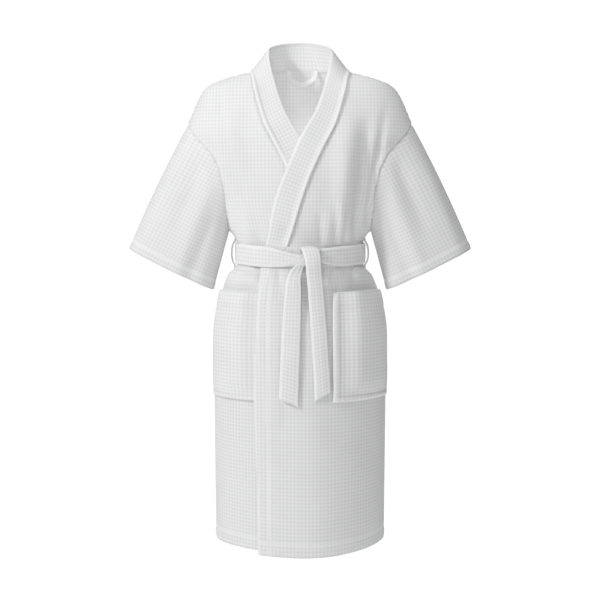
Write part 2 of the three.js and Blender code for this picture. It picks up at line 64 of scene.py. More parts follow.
# %% The camera
def add_object(name, data):
    added = bpy.data.objects.new(name, data)
    bpy.context.collection.objects.link(added)
    return added


def shade_smooth(mesh):
    mesh.polygons.foreach_set("use_smooth", np.ones(len(mesh.polygons), bool))


EYE = (0, -2.2, -0.31)
TILT_DOWN = 5.48  # degrees
FOCAL_LENGTH = 58.14  # millimetres, on a sensor 36 mm wide

lens = bpy.data.cameras.new("camera")
lens.lens = FOCAL_LENGTH
lens.sensor_width = 36
camera = add_object("camera", lens)
camera.location = EYE
camera.rotation_euler = (math.radians(90 - TILT_DOWN), 0, 0)
bpy.context.scene.camera = camera

# %% [markdown]
# ## The shape under the cloth
# The robe is drawn as if a wearer filled it. At each height its outline is half a width and two depths,
# one in front and one behind, and smooth curves join the heights where they are known. Everything that
# lies on the robe, such as a pocket or the belt, uses the same surface, so it all fits by itself.
# The script works in millimetres and turns them into metres when a mesh is made.

# %% Small helpers for numbers
MM = 0.001


def mix(a, b, t):
    return a + (b - a) * t


def smooth(start, end, value):
    """0 before start, 1 after end, and a soft step between them."""
    t = np.clip((value - start) / (end - start), 0, 1)
    return t * t * (3 - 2 * t)


def bump(value, middle, width):
    """1 at the middle, falling softly to nothing on both sides."""
    return np.exp(-(((value - middle) / width) ** 2))


def unit(ways):
    """The same directions, each one long."""
    return ways / np.maximum(np.linalg.norm(ways, axis=-1, keepdims=True), 1e-9)


def lengths(points):
    """How far along a line of points each of them is."""
    return np.concatenate(([0], np.cumsum(np.linalg.norm(np.diff(points, axis=0), axis=1))))


def mirror(hand):
    """Turns the wearer's left into the right where hand is -1."""
    return np.array([hand, 1, 1])


def curve(pairs):
    """A smooth curve through (place, value) pairs that never swings past them."""
    place, value = (np.array(column, float)[::-1] for column in zip(*pairs))
    slope = np.diff(value) / np.diff(place)
    before, after = slope[:-1], slope[1:]
    rising = before * after > 0
    middle = np.where(rising, 2 * before * after / np.where(rising, before + after, 1), 0)
    tangent = np.concatenate(([slope[0]], middle, [slope[-1]]))

    def at(v):
        v = np.asarray(v, float)
        i = np.clip(np.searchsorted(place, v) - 1, 0, len(place) - 2)
        span = place[i + 1] - place[i]
        t = np.clip((v - place[i]) / span, 0, 1)
        ends = value[i] * (1 + 2 * t) * (1 - t) ** 2 + value[i + 1] * t * t * (3 - 2 * t)
        ways = tangent[i] * span * t * (1 - t) ** 2 + tangent[i + 1] * span * t * t * (t - 1)
        return ends + ways + tangent[-1] * np.maximum(0, v - place[-1])

    return at


# %% The robe's measures, in millimetres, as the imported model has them
ROBE_LENGTH = 1070
FRONT_DROP = 12
NECK_HALF, NECK_DROP, NECK_DEPTH = 110, 9.5, 66
SHOULDER_HALF, SHOULDER_FALL = 213, 40
ARM_TOP_X, ARM_TOP_Z = 250, -125
ARM_LOW_X, ARM_LOW_Z = 160, -362
ARM_HALF_DEPTH = 62
WAIST_HALF, WAIST_FRONT, WAIST_BACK = 142, 92, 86
CHEST_FRONT = CHEST_BACK = 104
HIP_HALF, HIP_FRONT, HIP_BACK = 196, 117, 122
HEM_HALF = 195
BELT_Z, BELT_WIDTH, BELT_SAG = -414, 46, 6
BELT_TOP, BELT_LOW = BELT_Z + BELT_WIDTH / 2, BELT_Z - BELT_WIDTH / 2
HIP_Z = BELT_Z - 0.28 * (ROBE_LENGTH + BELT_Z)
TURN_Z = -NECK_DROP - SHOULDER_FALL
SEAM_GAP = 0.4
WRAP_LIFT, POCKET_LIFT = 5.5, 2.6
POCKET_TOP, POCKET_HEIGHT, POCKET_EDGE, POCKET_TURN = -496, 238, 69.5, 80
POCKET_LOW = POCKET_TOP - POCKET_HEIGHT

# %% Half the width at each height: neck, shoulder line, armhole line, then the side seam
shoulder_width = curve([
    (0, NECK_HALF - 8),
    (-NECK_DROP, NECK_HALF),
    (mix(-NECK_DROP, TURN_Z, 0.33), mix(NECK_HALF, SHOULDER_HALF, 0.46)),
    (mix(-NECK_DROP, TURN_Z, 0.67), mix(NECK_HALF, SHOULDER_HALF, 0.82)),
    (TURN_Z, SHOULDER_HALF),
    (mix(TURN_Z, ARM_TOP_Z, 0.35), mix(SHOULDER_HALF, ARM_TOP_X, 0.43)),
    (ARM_TOP_Z, ARM_TOP_X),
])
ARM_FALL, ARM_SPAN = ARM_TOP_Z - ARM_LOW_Z, ARM_TOP_X - ARM_LOW_X
ARM_SHAPE = [(0, 1), (0.11, 0.81), (0.2, 0.58), (0.3, 0.355), (0.49, 0.145), (0.74, 0.045), (1, 0)]
armhole_line = curve([(ARM_TOP_Z - down * ARM_FALL, ARM_LOW_X + out * ARM_SPAN) for down, out in ARM_SHAPE])
side_width = curve([
    (ARM_LOW_Z, ARM_LOW_X),
    (mix(ARM_LOW_Z, BELT_TOP, 0.4), mix(ARM_LOW_X, WAIST_HALF, 0.55)),
    (BELT_TOP, WAIST_HALF),
    (BELT_LOW, WAIST_HALF),
    (BELT_LOW - 29, mix(WAIST_HALF, HIP_HALF, 0.42)),
    (BELT_LOW - 84, mix(WAIST_HALF, HIP_HALF, 0.76)),
    (HIP_Z, HIP_HALF - 2),
    (HIP_Z - 150, HIP_HALF),
    (-ROBE_LENGTH, HEM_HALF),
])


def half_width(z):
    below = np.where(z >= ARM_LOW_Z, armhole_line(z), side_width(z))
    return np.where(z >= ARM_TOP_Z, shoulder_width(z), below)


# %% How deep it is in front and behind, and the surface that follows
front_depth = curve([
    (0, 18),
    (-NECK_DROP, 28),
    (-50, 58),
    (-76, 70),
    (ARM_TOP_Z, 0.83 * CHEST_FRONT),
    (-180, 0.935 * CHEST_FRONT),
    (-250, CHEST_FRONT),
    (-330, 0.99 * CHEST_FRONT),
    (BELT_TOP, WAIST_FRONT + 2),
    (BELT_LOW, WAIST_FRONT + 1),
    (HIP_Z, HIP_FRONT - 4),
    (-750, HIP_FRONT),
    (-ROBE_LENGTH, HIP_FRONT + 3),
])
back_depth = curve([
    (0, NECK_DEPTH),
    (-37, NECK_DEPTH + 10),
    (-76, NECK_DEPTH + 22),
    (ARM_TOP_Z, 0.94 * CHEST_BACK),
    (-180, CHEST_BACK),
    (-250, CHEST_BACK),
    (-330, 0.93 * CHEST_BACK),
    (BELT_TOP, WAIST_BACK + 2),
    (BELT_LOW, WAIST_BACK + 1),
    (HIP_Z, HIP_BACK - 4),
    (-750, HIP_BACK),
    (-ROBE_LENGTH, HIP_BACK),
])


def depth_squared(x, z, side):
    down = (ARM_TOP_Z - z) / ARM_FALL
    ring = 4 * ARM_HALF_DEPTH**2 * np.clip(down * (1 - down), 0, None)
    full = (front_depth(z) if side < 0 else back_depth(z)) ** 2
    return ring + (full - ring) * (1 - (x / half_width(z)) ** 2)


def body_point(x, z, side):
    """A point of the robe's outer face. side is -1 in front and 1 behind."""
    x, z = np.broadcast_arrays(np.asarray(x, float), np.asarray(z, float))
    return np.stack([x, side * np.sqrt(np.clip(depth_squared(x, z, side), 0, None)), z], axis=-1)


def body_normal(x, z, side):
    step = 0.5
    along = (depth_squared(x + step, z, side) - depth_squared(x - step, z, side)) / (2 * step)
    up = (depth_squared(x, z + step, side) - depth_squared(x, z - step, side)) / (2 * step)
    return unit(np.stack(np.broadcast_arrays(-along, 2 * body_point(x, z, side)[..., 1], -up), axis=-1))


# %% [markdown]
# ## Folds
# Cloth that is drawn in by a belt opens into pleats above and below it, and a loose skirt hangs in
# long soft waves. Each fold here is a line with a width and a height: a ridge where the height is above
# zero, a crease where it is below. Adding them to the surface before any piece is made means that the
# pockets, the band and the fronts all bend together.

# %% The folds, and how far the over front is lifted
# Each fold: x and z where it starts, x and z where it ends, its width at each end, and its height.
FRONT_FOLDS = [
    (44, -392, 40, -300, 5, 12, -3.2), (58, -392, 58, -290, 8, 16, 2.6),
    (72, -392, 78, -270, 4, 11, -3.0), (95, -392, 102, -262, 5, 14, -3.8),
    (84, -392, 90, -270, 7, 15, 2.2), (118, -392, 128, -240, 7, 18, -4.5),
    (-42, -396, -30, -330, 6, 14, -1.6), (-88, -394, -96, -300, 6, 18, -2.2),
    (-112, -394, -124, -290, 8, 18, 1.8), (-112, -90, -120, -260, 16, 26, -2.2),
    (-150, -110, -140, -300, 22, 26, 2.0), (104, -90, 84, -385, 24, 24, 5.5),
    (98, -100, 88, -385, 22, 20, 3.5), (150, -100, 122, -380, 17, 14, -11.0),
    (190, -70, 150, -355, 10, 8, -7.5), (-176, -60, -152, -250, 10, 10, -2.4),
    (-130, -150, -60, -330, 16, 20, -1.6), (-150, -230, -70, -375, 12, 16, -1.8),
    (-88, -436, -92, -505, 4, 12, -3.6), (-68, -438, -66, -560, 9, 22, 2.6),
    (-46, -438, -42, -540, 4, 14, -3.4), (52, -436, 55, -560, 5, 12, -2.6),
    (68, -436, 74, -530, 3.5, 10, -4.2), (82, -436, 92, -520, 7, 14, 2.4),
    (108, -436, 122, -500, 5, 12, -3.6), (122, -436, 138, -500, 6, 10, 1.8),
    (-128, -436, -146, -500, 5, 12, -2.6), (30, -520, 34, -1065, 34, 60, 2.6),
    (-44, -640, -40, -1065, 16, 30, -2.0), (-140, -760, -146, -1065, 24, 34, -1.8),
]
BACK_FOLDS = [  # pleats above and below the belt, then long waves
    (x, start, x + lean, end, 6, 17, height)
    for start, end in ((BELT_TOP, BELT_TOP + 105), (BELT_LOW, BELT_LOW - 120))
    for x, lean, height in (
        (-118, -16, -3.2), (-96, -10, 2.4), (-70, -8, -3.4), (-42, -4, 2.4), (-18, -2, -3.2),
        (14, 3, 2.6), (40, 5, -3.4), (68, 7, 2.2), (92, 10, -3.2), (116, 15, 2.4),
    )
] + [
    (-60, -560, -70, -1065, 28, 44, 3.0), (8, -520, 4, -1065, 24, 40, -3.0),
    (74, -560, 84, -1065, 28, 44, 3.0), (-132, -640, -140, -1065, 22, 34, -2.4),
    (140, -640, 146, -1065, 22, 34, -2.4), (-90, -60, -96, -300, 24, 34, 2.2),
    (90, -60, 96, -300, 24, 34, 2.2),
]


PLEAT_REACH = 200  # a shorter fold is a pleat that starts at the belt


def folds(x, z, side):
    """How far the cloth stands off its plain shape at x and z."""
    height = np.zeros(np.broadcast(x, z).shape)
    for x0, z0, x1, z1, near, far, tall in FRONT_FOLDS if side < 0 else BACK_FOLDS:
        t = (z - z0) / (z1 - z0)
        held = np.clip(t, 0, 1)
        across = (x - mix(x0, x1, held)) / mix(near, far, held)
        if abs(z1 - z0) < PLEAT_REACH:
            fade = smooth(-0.12, 0.08, t) * (1 - smooth(0.35, 1.0, t))
        else:
            fade = smooth(-0.05, 0.5, t) * (1 - smooth(0.8, 1.05, t) * (z1 > BELT_LOW))
        height = height + tall * fade * np.exp(-across * across)
    under_belt = smooth(BELT_WIDTH / 2 - 6, BELT_WIDTH / 2 + 16, np.abs(z - BELT_Z + BELT_SAG / 2))
    edge = smooth(0, 0.08, 1 - np.abs(x) / half_width(z))
    waves = 0.9 * np.sin(x / 37 + 1.3 * np.sin(z / 61)) * np.sin(z / 83 + 0.8 * np.sin(x / 45) + side)
    waves = waves + 0.5 * np.sin(x / 17 + z / 29) * np.sin(z / 41 - x / 53)
    return (height + waves) * under_belt * edge


def lift(x, z, over):
    """How far the over front stands off the plain shape, where the under front and pocket lie behind it."""
    if not over:
        return 0 * (x + z)
    beside = smooth(-POCKET_EDGE + 40, -POCKET_EDGE + 18, x)
    level = smooth(POCKET_LOW - 70, POCKET_LOW - 30, z) * (1 - smooth(POCKET_TOP + 8, POCKET_TOP + 30, z))
    skirt = smooth(-470, -580, z)
    wrap = (1 - smooth(mix(104, 50, skirt), mix(150, 188, skirt), x)) * (1 - smooth(-150, -90, z))
    return WRAP_LIFT * wrap + POCKET_LIFT * beside * level


def on_robe(x, z, side, hand=1, over=False, proud=0.0):
    """A point that stands `proud` of the cloth at x and z. hand is -1 on the wearer's right."""
    x, z = np.broadcast_arrays(np.asarray(x, float), np.asarray(z, float))
    raised = lift(x, z, over) + folds(hand * x, z, side) + proud
    point = body_point(x, z, side) + body_normal(x, z, side) * np.asarray(raised)[..., None]
    point[..., 1] += side * SEAM_GAP / 2
    if over:
        point[..., 2] -= FRONT_DROP * (1 - (x / half_width(z)) ** 2) * (-z / ROBE_LENGTH) ** 8
    point[..., 0] *= hand
    return point


# %% [markdown]
# ## Waffle cloth
# Waffle weave is a field of small square pits with raised walls. A bump in the material would vanish at
# the outline and in raking light, so the cells are real: the mesh has a line of points along every wall
# and through every pit, laid along the grain of the cloth, and the points of each pit are pushed in.
# Two coordinates measured along the cloth are stored on the points, for the yarn in the material.

# %% One sheet of cloth from lines of points
CELL = 8.0  # one waffle cell
GRID = CELL / 2  # a line of points on each wall and one in each pit
CLOTH = 1.6  # one layer, without its relief
RELIEF = 1.4  # how far a wall stands up and a pit sinks
SET_IN = 0.4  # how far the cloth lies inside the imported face
HEM_RISE, HEM_THICK = 1.2, 0.5  # how far a doubled hem stands up, and how much thicker it is
START, END = -(10**6), 10**6  # names of a line's two ends, beside the grid numbers between them


def waffle(u, v):
    """1 where two walls cross, less on a wall and -1 in a pit."""
    a, b = (2 * np.abs(np.cos(np.pi * w / CELL)) - 1 for w in (u, v))
    return 0.7 * np.maximum(a, b) + 0.3 * np.minimum(a, b)


def stops(start, end):
    """Places along a line of cloth: its two ends, and each grid place between them."""
    first = math.ceil((start + 0.35 * GRID) / GRID)
    last = math.floor((end - 0.35 * GRID) / GRID)
    numbers = list(range(first, last + 1))
    return np.array([start, *(GRID * n for n in numbers), end]), [START, *numbers, END]


def zip_lines(a, b, row):
    """Triangles between two lines, which may have different points near their ends."""
    (first_a, keys_a, place_a), (first_b, keys_b, place_b) = a, b
    i = j = 0
    last_a, last_b = len(keys_a) - 1, len(keys_b) - 1
    faces = []
    while i < last_a or j < last_b:
        p, q = first_a + i, first_b + j
        if i < last_a and j < last_b and keys_a[i] == keys_b[j] and keys_a[i + 1] == keys_b[j + 1]:
            if (keys_a[i] + row) % 2 == 0:
                faces += [(p, p + 1, q + 1), (p, q + 1, q)]
            else:
                faces += [(p, p + 1, q), (p + 1, q + 1, q)]
            i, j = i + 1, j + 1
        elif j == last_b or (i < last_a and place_a[i + 1] <= place_b[j + 1]):
            faces.append((p, p + 1, q))
            i += 1
        else:
            faces.append((p, q + 1, q))
            j += 1
    return faces


def shell(name, middle, normal, half_thick, faces, relief, grain):
    """A closed mesh from the middle surface of a sheet, in millimetres."""
    faces = np.array(faces)
    count = len(middle)
    corners = middle[faces]
    facing = np.cross(corners[:, 1] - corners[:, 0], corners[:, 2] - corners[:, 0])
    if np.sum(facing * normal[faces[:, 0]]) < 0:
        faces = faces[:, ::-1]
    edges = np.concatenate([faces[:, [0, 1]], faces[:, [1, 2]], faces[:, [2, 0]]])
    codes = edges[:, 0] * count + edges[:, 1]
    backward = edges[:, 1] * count + edges[:, 0]
    rim = edges[~np.isin(codes, backward)]
    a, b = rim[:, 0], rim[:, 1]
    walls = np.concatenate([np.stack([b, a, a + count], 1), np.stack([b, a + count, b + count], 1)])
    every = np.concatenate([faces, faces[:, ::-1] + count, walls])
    offset = normal * np.asarray(half_thick).reshape(-1, 1)
    points = np.concatenate([middle + offset, middle - offset]) * MM
    mesh = bpy.data.meshes.new(name)
    mesh.vertices.add(len(points))
    mesh.vertices.foreach_set("co", points.astype(np.float32).ravel())
    mesh.loops.add(3 * len(every))
    mesh.loops.foreach_set("vertex_index", every.astype(np.int32).ravel())
    mesh.polygons.add(len(every))
    mesh.polygons.foreach_set("loop_start", np.arange(0, 3 * len(every), 3, dtype=np.int32))
    mesh.update(calc_edges=True)
    mesh.validate()
    shade_smooth(mesh)
    # The relief attribute is painted shade: the material darkens the colour where it is low, in the pits,
    # and the inner face gets it turned over
    pit_shade_attribute = mesh.attributes.new("relief", "FLOAT", "POINT")
    pit_shade_attribute.data.foreach_set("value", np.concatenate([relief, -relief]).astype(np.float32))
    weave = mesh.attributes.new("grain", "FLOAT_VECTOR", "POINT")
    flat = np.concatenate([grain, np.zeros((count, 1))], axis=1)
    weave.data.foreach_set("vector", np.concatenate([flat, flat]).astype(np.float32).ravel())
    print(f"{name}: {len(every)} triangles")
    return add_object(name, mesh)


def area_of(piece):
    """Half the surface of a thin shell, in square metres: the area of its cloth."""
    return sum(face.area for face in piece.data.polygons) / 2


# %% [markdown]
# ## Fronts and back
# A panel is laid out row by row, from its hem up, as it would be cut. A row starts at one edge of the
# panel and ends at the other, and its points are spaced along the cloth, not along x, so the cells stay
# square where the robe turns to the side. At the waist the rows are drawn together, as the belt does it.

# %% A panel of the body
EDGE_RIDGE = 0.9  # how far a seam allowance lifts the cloth over it
RIDGE_PLACE = RIDGE_WIDTH = 3  # where it does so, measured from the seam
GULLY = 2.4  # how far a front is drawn in beside the collar band
HEM = 25  # the hem's depth
FACING = 27  # the turned edge of the over front
GROOVE, GROOVE_WIDTH = 0.5, 3.4  # how deep a row of stitches sinks, and how far to each side
PULL_IN, PULL_REACH = 0.2, 75  # the share of extra cloth that the belt holds, and how far that is felt
TURNS = np.linspace(-math.pi / 2, math.pi / 2, 241)


def drawn_in(z):
    """How much cloth is held in each millimetre across."""
    return 1 + PULL_IN * bump(z, BELT_Z, PULL_REACH)


def section(z, side):
    """One level slice of the body: its x values and the length of cloth from the middle."""
    x = float(half_width(z)) * np.sin(TURNS)
    length = lengths(body_point(x, z, side))
    return x, (length - length[len(length) // 2]) * drawn_in(z)


def panel(name, side, left, right, top, hand=1, over=False, facing=0):
    """left and right give the panel's edges at a height."""
    heights = [GRID * k for k in range(int((ROBE_LENGTH + top) / GRID) + 1)]
    heights.append(ROBE_LENGTH + top)
    lines, faces, rows = [], [], []
    count = 0
    for row, above in enumerate(heights):
        z = above - ROBE_LENGTH
        xs, length = section(z, side)
        start, end = (float(np.interp(edge(z), xs, length)) for edge in (left, right))
        places, keys = stops(start, max(end, start + 1))
        x = np.interp(places, length, xs)
        x[0], x[-1] = left(z), right(z)
        lines.append((count, keys, places))
        level, up = np.full_like(x, z), np.full_like(x, above)
        rows.append(np.stack([x, level, places, up, places - start, end - places], 1))
        count += len(places)
        if row:
            faces += zip_lines(lines[-2], lines[-1], row - 1)
    x, z, u, v, from_start, to_end = np.concatenate(rows).T
    relief = waffle(u, v)
    sewn = np.minimum(to_end, from_start if side > 0 else 1e3)
    calm = smooth(0, 5, np.minimum(from_start, to_end)) * smooth(0, 5, v)
    hem_line = bump(v, HEM, GROOVE_WIDTH)
    double = 0.5 * (1 - smooth(HEM - 2, HEM + 3, v))
    ridge = EDGE_RIDGE * bump(sewn, RIDGE_PLACE, RIDGE_WIDTH) * (z > ARM_LOW_Z)
    if facing:
        skirt = smooth(BELT_TOP, BELT_TOP - 10, z)
        hem_line = np.maximum(hem_line, skirt * bump(from_start, facing, GROOVE_WIDTH))
        hem_line = np.maximum(hem_line, skirt * bump(from_start, 2, 3))
        double = np.maximum(double, 0.5 * (1 - smooth(facing - 2, facing + 3, from_start)) * skirt)
        ridge = ridge - GULLY * bump(from_start, 4, 4) * (z > BELT_TOP)
    proud = -CLOTH / 2 - SET_IN + RELIEF * relief * calm * (1 - hem_line) - GROOVE * hem_line + ridge
    proud = proud + double * HEM_RISE
    middle = on_robe(x, z, side, hand, over, proud)
    normal = body_normal(x, z, side)
    normal[:, 0] *= hand
    thick = CLOTH / 2 + double * HEM_THICK
    # Painted shade for the pits, left out on the lines of stitches, where the cells are pressed flat
    painted_pit_shade = mix(relief * calm, 1, np.clip(hem_line, 0, 1))
    return shell(name, middle, normal, thick, faces, painted_pit_shade, np.stack([u, v], 1))


neck_seam = curve([
    (-NECK_DROP, NECK_HALF), (-24, 104), (-59, 95), (-125, 75), (-188, 43), (-261, 11),
    (BELT_TOP, -29), (BELT_Z, -37), (BELT_LOW, -83), (-560, -93), (-730, -98), (-ROBE_LENGTH, -91),
])

FRONT_TOP, BACK_TOP = -NECK_DROP - 0.5, -0.4
front_edges = neck_seam, half_width
front_panel_left = panel("left_front_cloth", -1, *front_edges, FRONT_TOP, over=True, facing=FACING)
front_panel_right = panel("right_front_cloth", -1, *front_edges, FRONT_TOP, hand=-1, facing=FACING)


def back_edge(z):
    return -half_width(z) if z < -NECK_DROP else -NECK_HALF * math.sqrt(max(-z, 0.01) / NECK_DROP)


def back_other_edge(z):
    return -back_edge(z)


back_panel = panel("back_cloth", 1, back_edge, back_other_edge, BACK_TOP)

# %% [markdown]
# ## Sleeves
# A sleeve is a tube of cloth with its grain along the arm. Its lines of points run from the hem up to
# the armhole, so the rows of cells stay parallel to the hem and the armhole cuts across them.

# %% The sleeves
SLEEVE_LENGTH, SLEEVE_ANGLE = 310, math.radians(26.2)
SLEEVE_HEM, SLEEVE_HEM_DEPTH, SLEEVE_BULGE = 211.5, 46, 4
SLEEVE_STITCH, SLEEVE_GROOVE = 20, 2.4  # the hem's line of stitches, and its width
TUCK_DEPTH, TUCK_IN = 1.4, 3.2  # how the last of the cloth turns down and into the armhole
WAY = np.array([math.sin(SLEEVE_ANGLE), 0, -math.cos(SLEEVE_ANGLE)])
ACROSS = np.array([WAY[2], 0, -WAY[0]])
HEM_TOP = np.array([ARM_TOP_X, 0, ARM_TOP_Z]) + SLEEVE_LENGTH * WAY
OUT = np.array([ARM_FALL, 0, -ARM_SPAN]) / math.hypot(ARM_FALL, ARM_SPAN)
# Each fold: how far round it starts and ends, its width, where along it fades in and out, its height.
SLEEVE_FOLDS = [
    (1.05, 1.35, 0.16, -0.1, 0.75, -4.5), (1.42, 1.75, 0.18, 0.0, 1.1, 3.6),
    (1.9, 2.05, 0.15, 0.1, 1.2, -3.4), (0.55, 0.8, 0.2, 0.1, 1.2, 2.6), (2.45, 2.4, 0.2, 0.2, 1.3, 2.4),
    (4.9, 4.6, 0.2, 0.0, 1.1, 3.4), (4.2, 4.1, 0.18, 0.1, 1.1, -3.2), (5.5, 5.4, 0.2, 0.1, 1.1, -2.4),
]


def armhole_point(turn):
    z = ARM_TOP_Z - ARM_FALL * (1 - np.cos(turn)) / 2
    return np.stack([half_width(z), -ARM_HALF_DEPTH * np.sin(turn), z], -1)


def sleeve_base(turn, along):
    hem = HEM_TOP + ACROSS * (SLEEVE_HEM * (1 - np.cos(turn)) / 2)[..., None]
    hem[..., 1] = -SLEEVE_HEM_DEPTH * np.sin(turn)
    point = mix(armhole_point(turn), hem, along[..., None])
    swell = np.clip(SLEEVE_BULGE * np.sin(np.pi * along) * np.cos(turn), 0, None)
    return point - ACROSS * swell[..., None]


def sleeve_normal(turn, along):
    step = 0.01
    low, high = np.clip(along - step, 0, 1), np.clip(along + step, 0, 1)
    round_way = sleeve_base(turn + step, along) - sleeve_base(turn - step, along)
    down_way = sleeve_base(turn, high) - sleeve_base(turn, low)
    return unit(np.cross(round_way, down_way))


def sleeve_folds(turn, along):
    height = 0 * turn
    for start, end, width, rise, fall, tall in SLEEVE_FOLDS:
        middle = mix(start, end, along)
        fade = smooth(rise, rise + 0.35, along) * (1 - smooth(fall - 0.3, fall + 0.1, along))
        height = height + tall * fade * bump(turn, middle, width)
    return height * smooth(0.0, 0.18, along) + 0 * along


def on_sleeve(turn, along, hand, proud):
    raised = sleeve_folds(turn, along) + proud
    point = sleeve_base(turn, along) + OUT * SEAM_GAP
    point = point + sleeve_normal(turn, along) * raised[..., None]
    return point * mirror(hand)


def even_turns(count):
    """Turns round the hem with the same length of cloth between them."""
    turn = np.linspace(0, 2 * math.pi, 721)
    length = lengths(sleeve_base(turn, np.ones_like(turn)))
    return np.interp(np.arange(count) * length[-1] / count, length, turn), length[-1]


def sleeve(name, hand):
    _, hem_length = even_turns(1)
    count = 2 * round(hem_length / CELL)
    turns, _ = even_turns(count)
    lines, rows, faces = [], [], []
    total = 0
    for number, turn in enumerate(turns):
        ends = sleeve_base(np.array([turn, turn]), np.array([0.0, 1.0]))
        length = float(np.linalg.norm(ends[1] - ends[0]))
        places, keys = stops(0, length)
        lines.append((total, keys, places))
        turned, across = np.full_like(places, turn), np.full_like(places, number * GRID)
        rows.append(np.stack([turned, 1 - places / length, places, length - places, across], 1))
        total += len(places)
        if number:
            faces += zip_lines(lines[-2], lines[-1], number - 1)
    faces += zip_lines(lines[-1], lines[0], count - 1)
    turn, along, v, to_seam, u = np.concatenate(rows).T
    relief = waffle(u, v)
    calm = smooth(0, 5, v) * smooth(0, 5, to_seam)
    line = bump(v, SLEEVE_STITCH, SLEEVE_GROOVE)
    double = 0.5 * (1 - smooth(SLEEVE_STITCH - 2, SLEEVE_STITCH + 3, v))
    tuck = 1 - smooth(0, 7, to_seam)
    proud = -CLOTH / 2 - SET_IN + RELIEF * relief * calm * (1 - line) - GROOVE * line
    proud = proud - TUCK_DEPTH * tuck + HEM_RISE * double
    middle = on_sleeve(turn, along, hand, proud) - tuck[:, None] * TUCK_IN * OUT * mirror(hand)
    normal = sleeve_normal(turn, along) * mirror(hand)
    # Painted shade for the pits, mostly left out on the hem's line of stitches
    painted_pit_shade = mix(relief * calm, 0.7, line)
    thick = CLOTH / 2 + HEM_THICK * double
    return shell(name, middle, normal, thick, faces, painted_pit_shade, np.stack([u, v], 1))


sleeve_left = sleeve("left_sleeve_cloth", 1)
sleeve_right = sleeve("right_sleeve_cloth", -1)

# %% [markdown]
# ## Strips of doubled cloth
# The band, the belt, the pockets and the loops are strips with a folded edge on each side. A strip needs
# a path for each of its columns. The columns crowd together at the edges, where the cloth rolls over,
# and the rows are spaced evenly along its length, so that the cells come out square.

# %% A strip from a grid of points
DOUBLE = 3.2  # two layers of cloth
BORDER = 6.0  # plain cloth beside a strip's cells
ROLL_RADIUS = 2.2  # of its rounded edge
STITCH_IN = 4.0  # from the edge to the line of stitches
STITCH_DENT, DENT_WIDTH = 0.55, 1.3


def strip_columns(width, border=BORDER):
    """Distances across a strip: a rolled edge, a line of stitches, then whole cells."""
    edge = [0, 0.7, 2.0, STITCH_IN]
    cells = max(1, round((width - 2 * border) / CELL))
    inside = np.linspace(border, width - border, 2 * cells + 1)
    return np.array([*edge, *inside, *(width - d for d in reversed(edge))])


def along_length(grid):
    """The length of a grid's middle line, up to each of its rows."""
    return lengths(grid[:, grid.shape[1] // 2])


def resample(grid, step=GRID, ring=False):
    """The same surface with rows spaced evenly along it, an even number of them."""
    length = along_length(grid)
    count = 2 * max(1, round(length[-1] / (2 * step)))
    even = np.linspace(0, length[-1], count + 1)[: count if ring else None]
    flat = grid.reshape(len(grid), -1)
    rows = np.stack([np.interp(even, length, column) for column in flat.T], 1)
    return rows.reshape(len(even), *grid.shape[1:])


def grid_normals(grid, ring=False):
    if ring:
        down = np.roll(grid, -1, 0) - np.roll(grid, 1, 0)
    else:
        down = np.gradient(grid, axis=0)
    return unit(np.cross(down, np.gradient(grid, axis=1)))


def strip(name, grid, width, thick=DOUBLE, border=BORDER, relief=RELIEF, ring=False, flip=False, sewn=True):
    """grid holds the middle of the cloth: rows along the strip and one column for each distance across."""
    rows, columns = grid.shape[:2]
    across = strip_columns(width, border)
    normal = grid_normals(grid, ring) * (-1 if flip else 1)
    edge = np.minimum(across, width - across)
    rounding = np.sqrt(np.clip(1 - (1 - np.clip(edge / ROLL_RADIUS, 0, 1)) ** 2, 0, 1))
    half = thick / 2 * np.clip(rounding, 0.15, 1)
    number = np.arange(rows)[:, None] * GRID
    inside = np.clip((across - border) / (width - 2 * border), 0, 1)
    cells = max(1, round((width - 2 * border) / CELL)) * CELL
    pattern = waffle(number, (inside * cells)[None, :]) * smooth(2, border, edge)[None, :]
    if not ring:
        ends = np.minimum(number, number[::-1])
        pattern = pattern * smooth(0, 5, ends)
    stitch = bump(edge, STITCH_IN, DENT_WIDTH)[None, :] * (STITCH_DENT if sewn else 0)
    proud = relief * pattern - stitch
    # Painted shade for the pits, none on the plain border
    painted_pit_shade = mix(1, pattern, smooth(3, border + 1, edge)[None, :])
    front = grid + normal * (proud + half)[..., None]
    back = grid - normal * (half - 0.4 * proud)[..., None]
    middle, reach = (front + back) / 2, front - back
    size = np.linalg.norm(reach, axis=-1)
    faces = []
    for r in range(rows if ring else rows - 1):
        for c in range(columns - 1):
            p, q = r * columns + c, (r + 1) % rows * columns + c
            if (r + c) % 2:
                faces += [(p, p + 1, q + 1), (p, q + 1, q)]
            else:
                faces += [(p, p + 1, q), (p + 1, q + 1, q)]
    grain = np.stack(np.broadcast_arrays(number, across[None, :]), -1).reshape(-1, 2)
    facing = (reach / size[..., None]).reshape(-1, 3)
    return shell(name, middle.reshape(-1, 3), facing, size.ravel() / 2, faces, painted_pit_shade.ravel(), grain)


# %% [markdown]
# ## The collar band
# One long strip starts under the belt, climbs the left front, passes round the neck and comes down the
# right front. It is sewn over the edge of the fronts, so its outer edge stands proud and casts a line of
# shadow. Round the back of the neck it stands up by itself.

# %% The collar band
BAND_WIDTH = 60
BAND_STAND = 64  # its height at the back of the neck
BAND_LAP = 4.2  # how far it passes over the seam, and how far it stands up there
ON_CHEST, STANDING = -90, -35  # the heights between which it leaves the chest and stands up
band_free_edge = curve([
    (40, 69), (22, 68), (0, 64), (-29, 57), (-95, 36), (-165, -2), (-218, -25), (-301, -56),
    (BELT_TOP, -73), (BELT_Z, -79),
])
band_rise = curve([
    (-NECK_DROP, 49.5), (-24, 46), (-59, 30), (-125, 24), (-188, 22), (-261, 18), (BELT_TOP, 8), (BELT_Z, 0),
])
band_side = curve([(40, 2), (22, -14), (0, -30), (-29, -44), (-60, -61)])


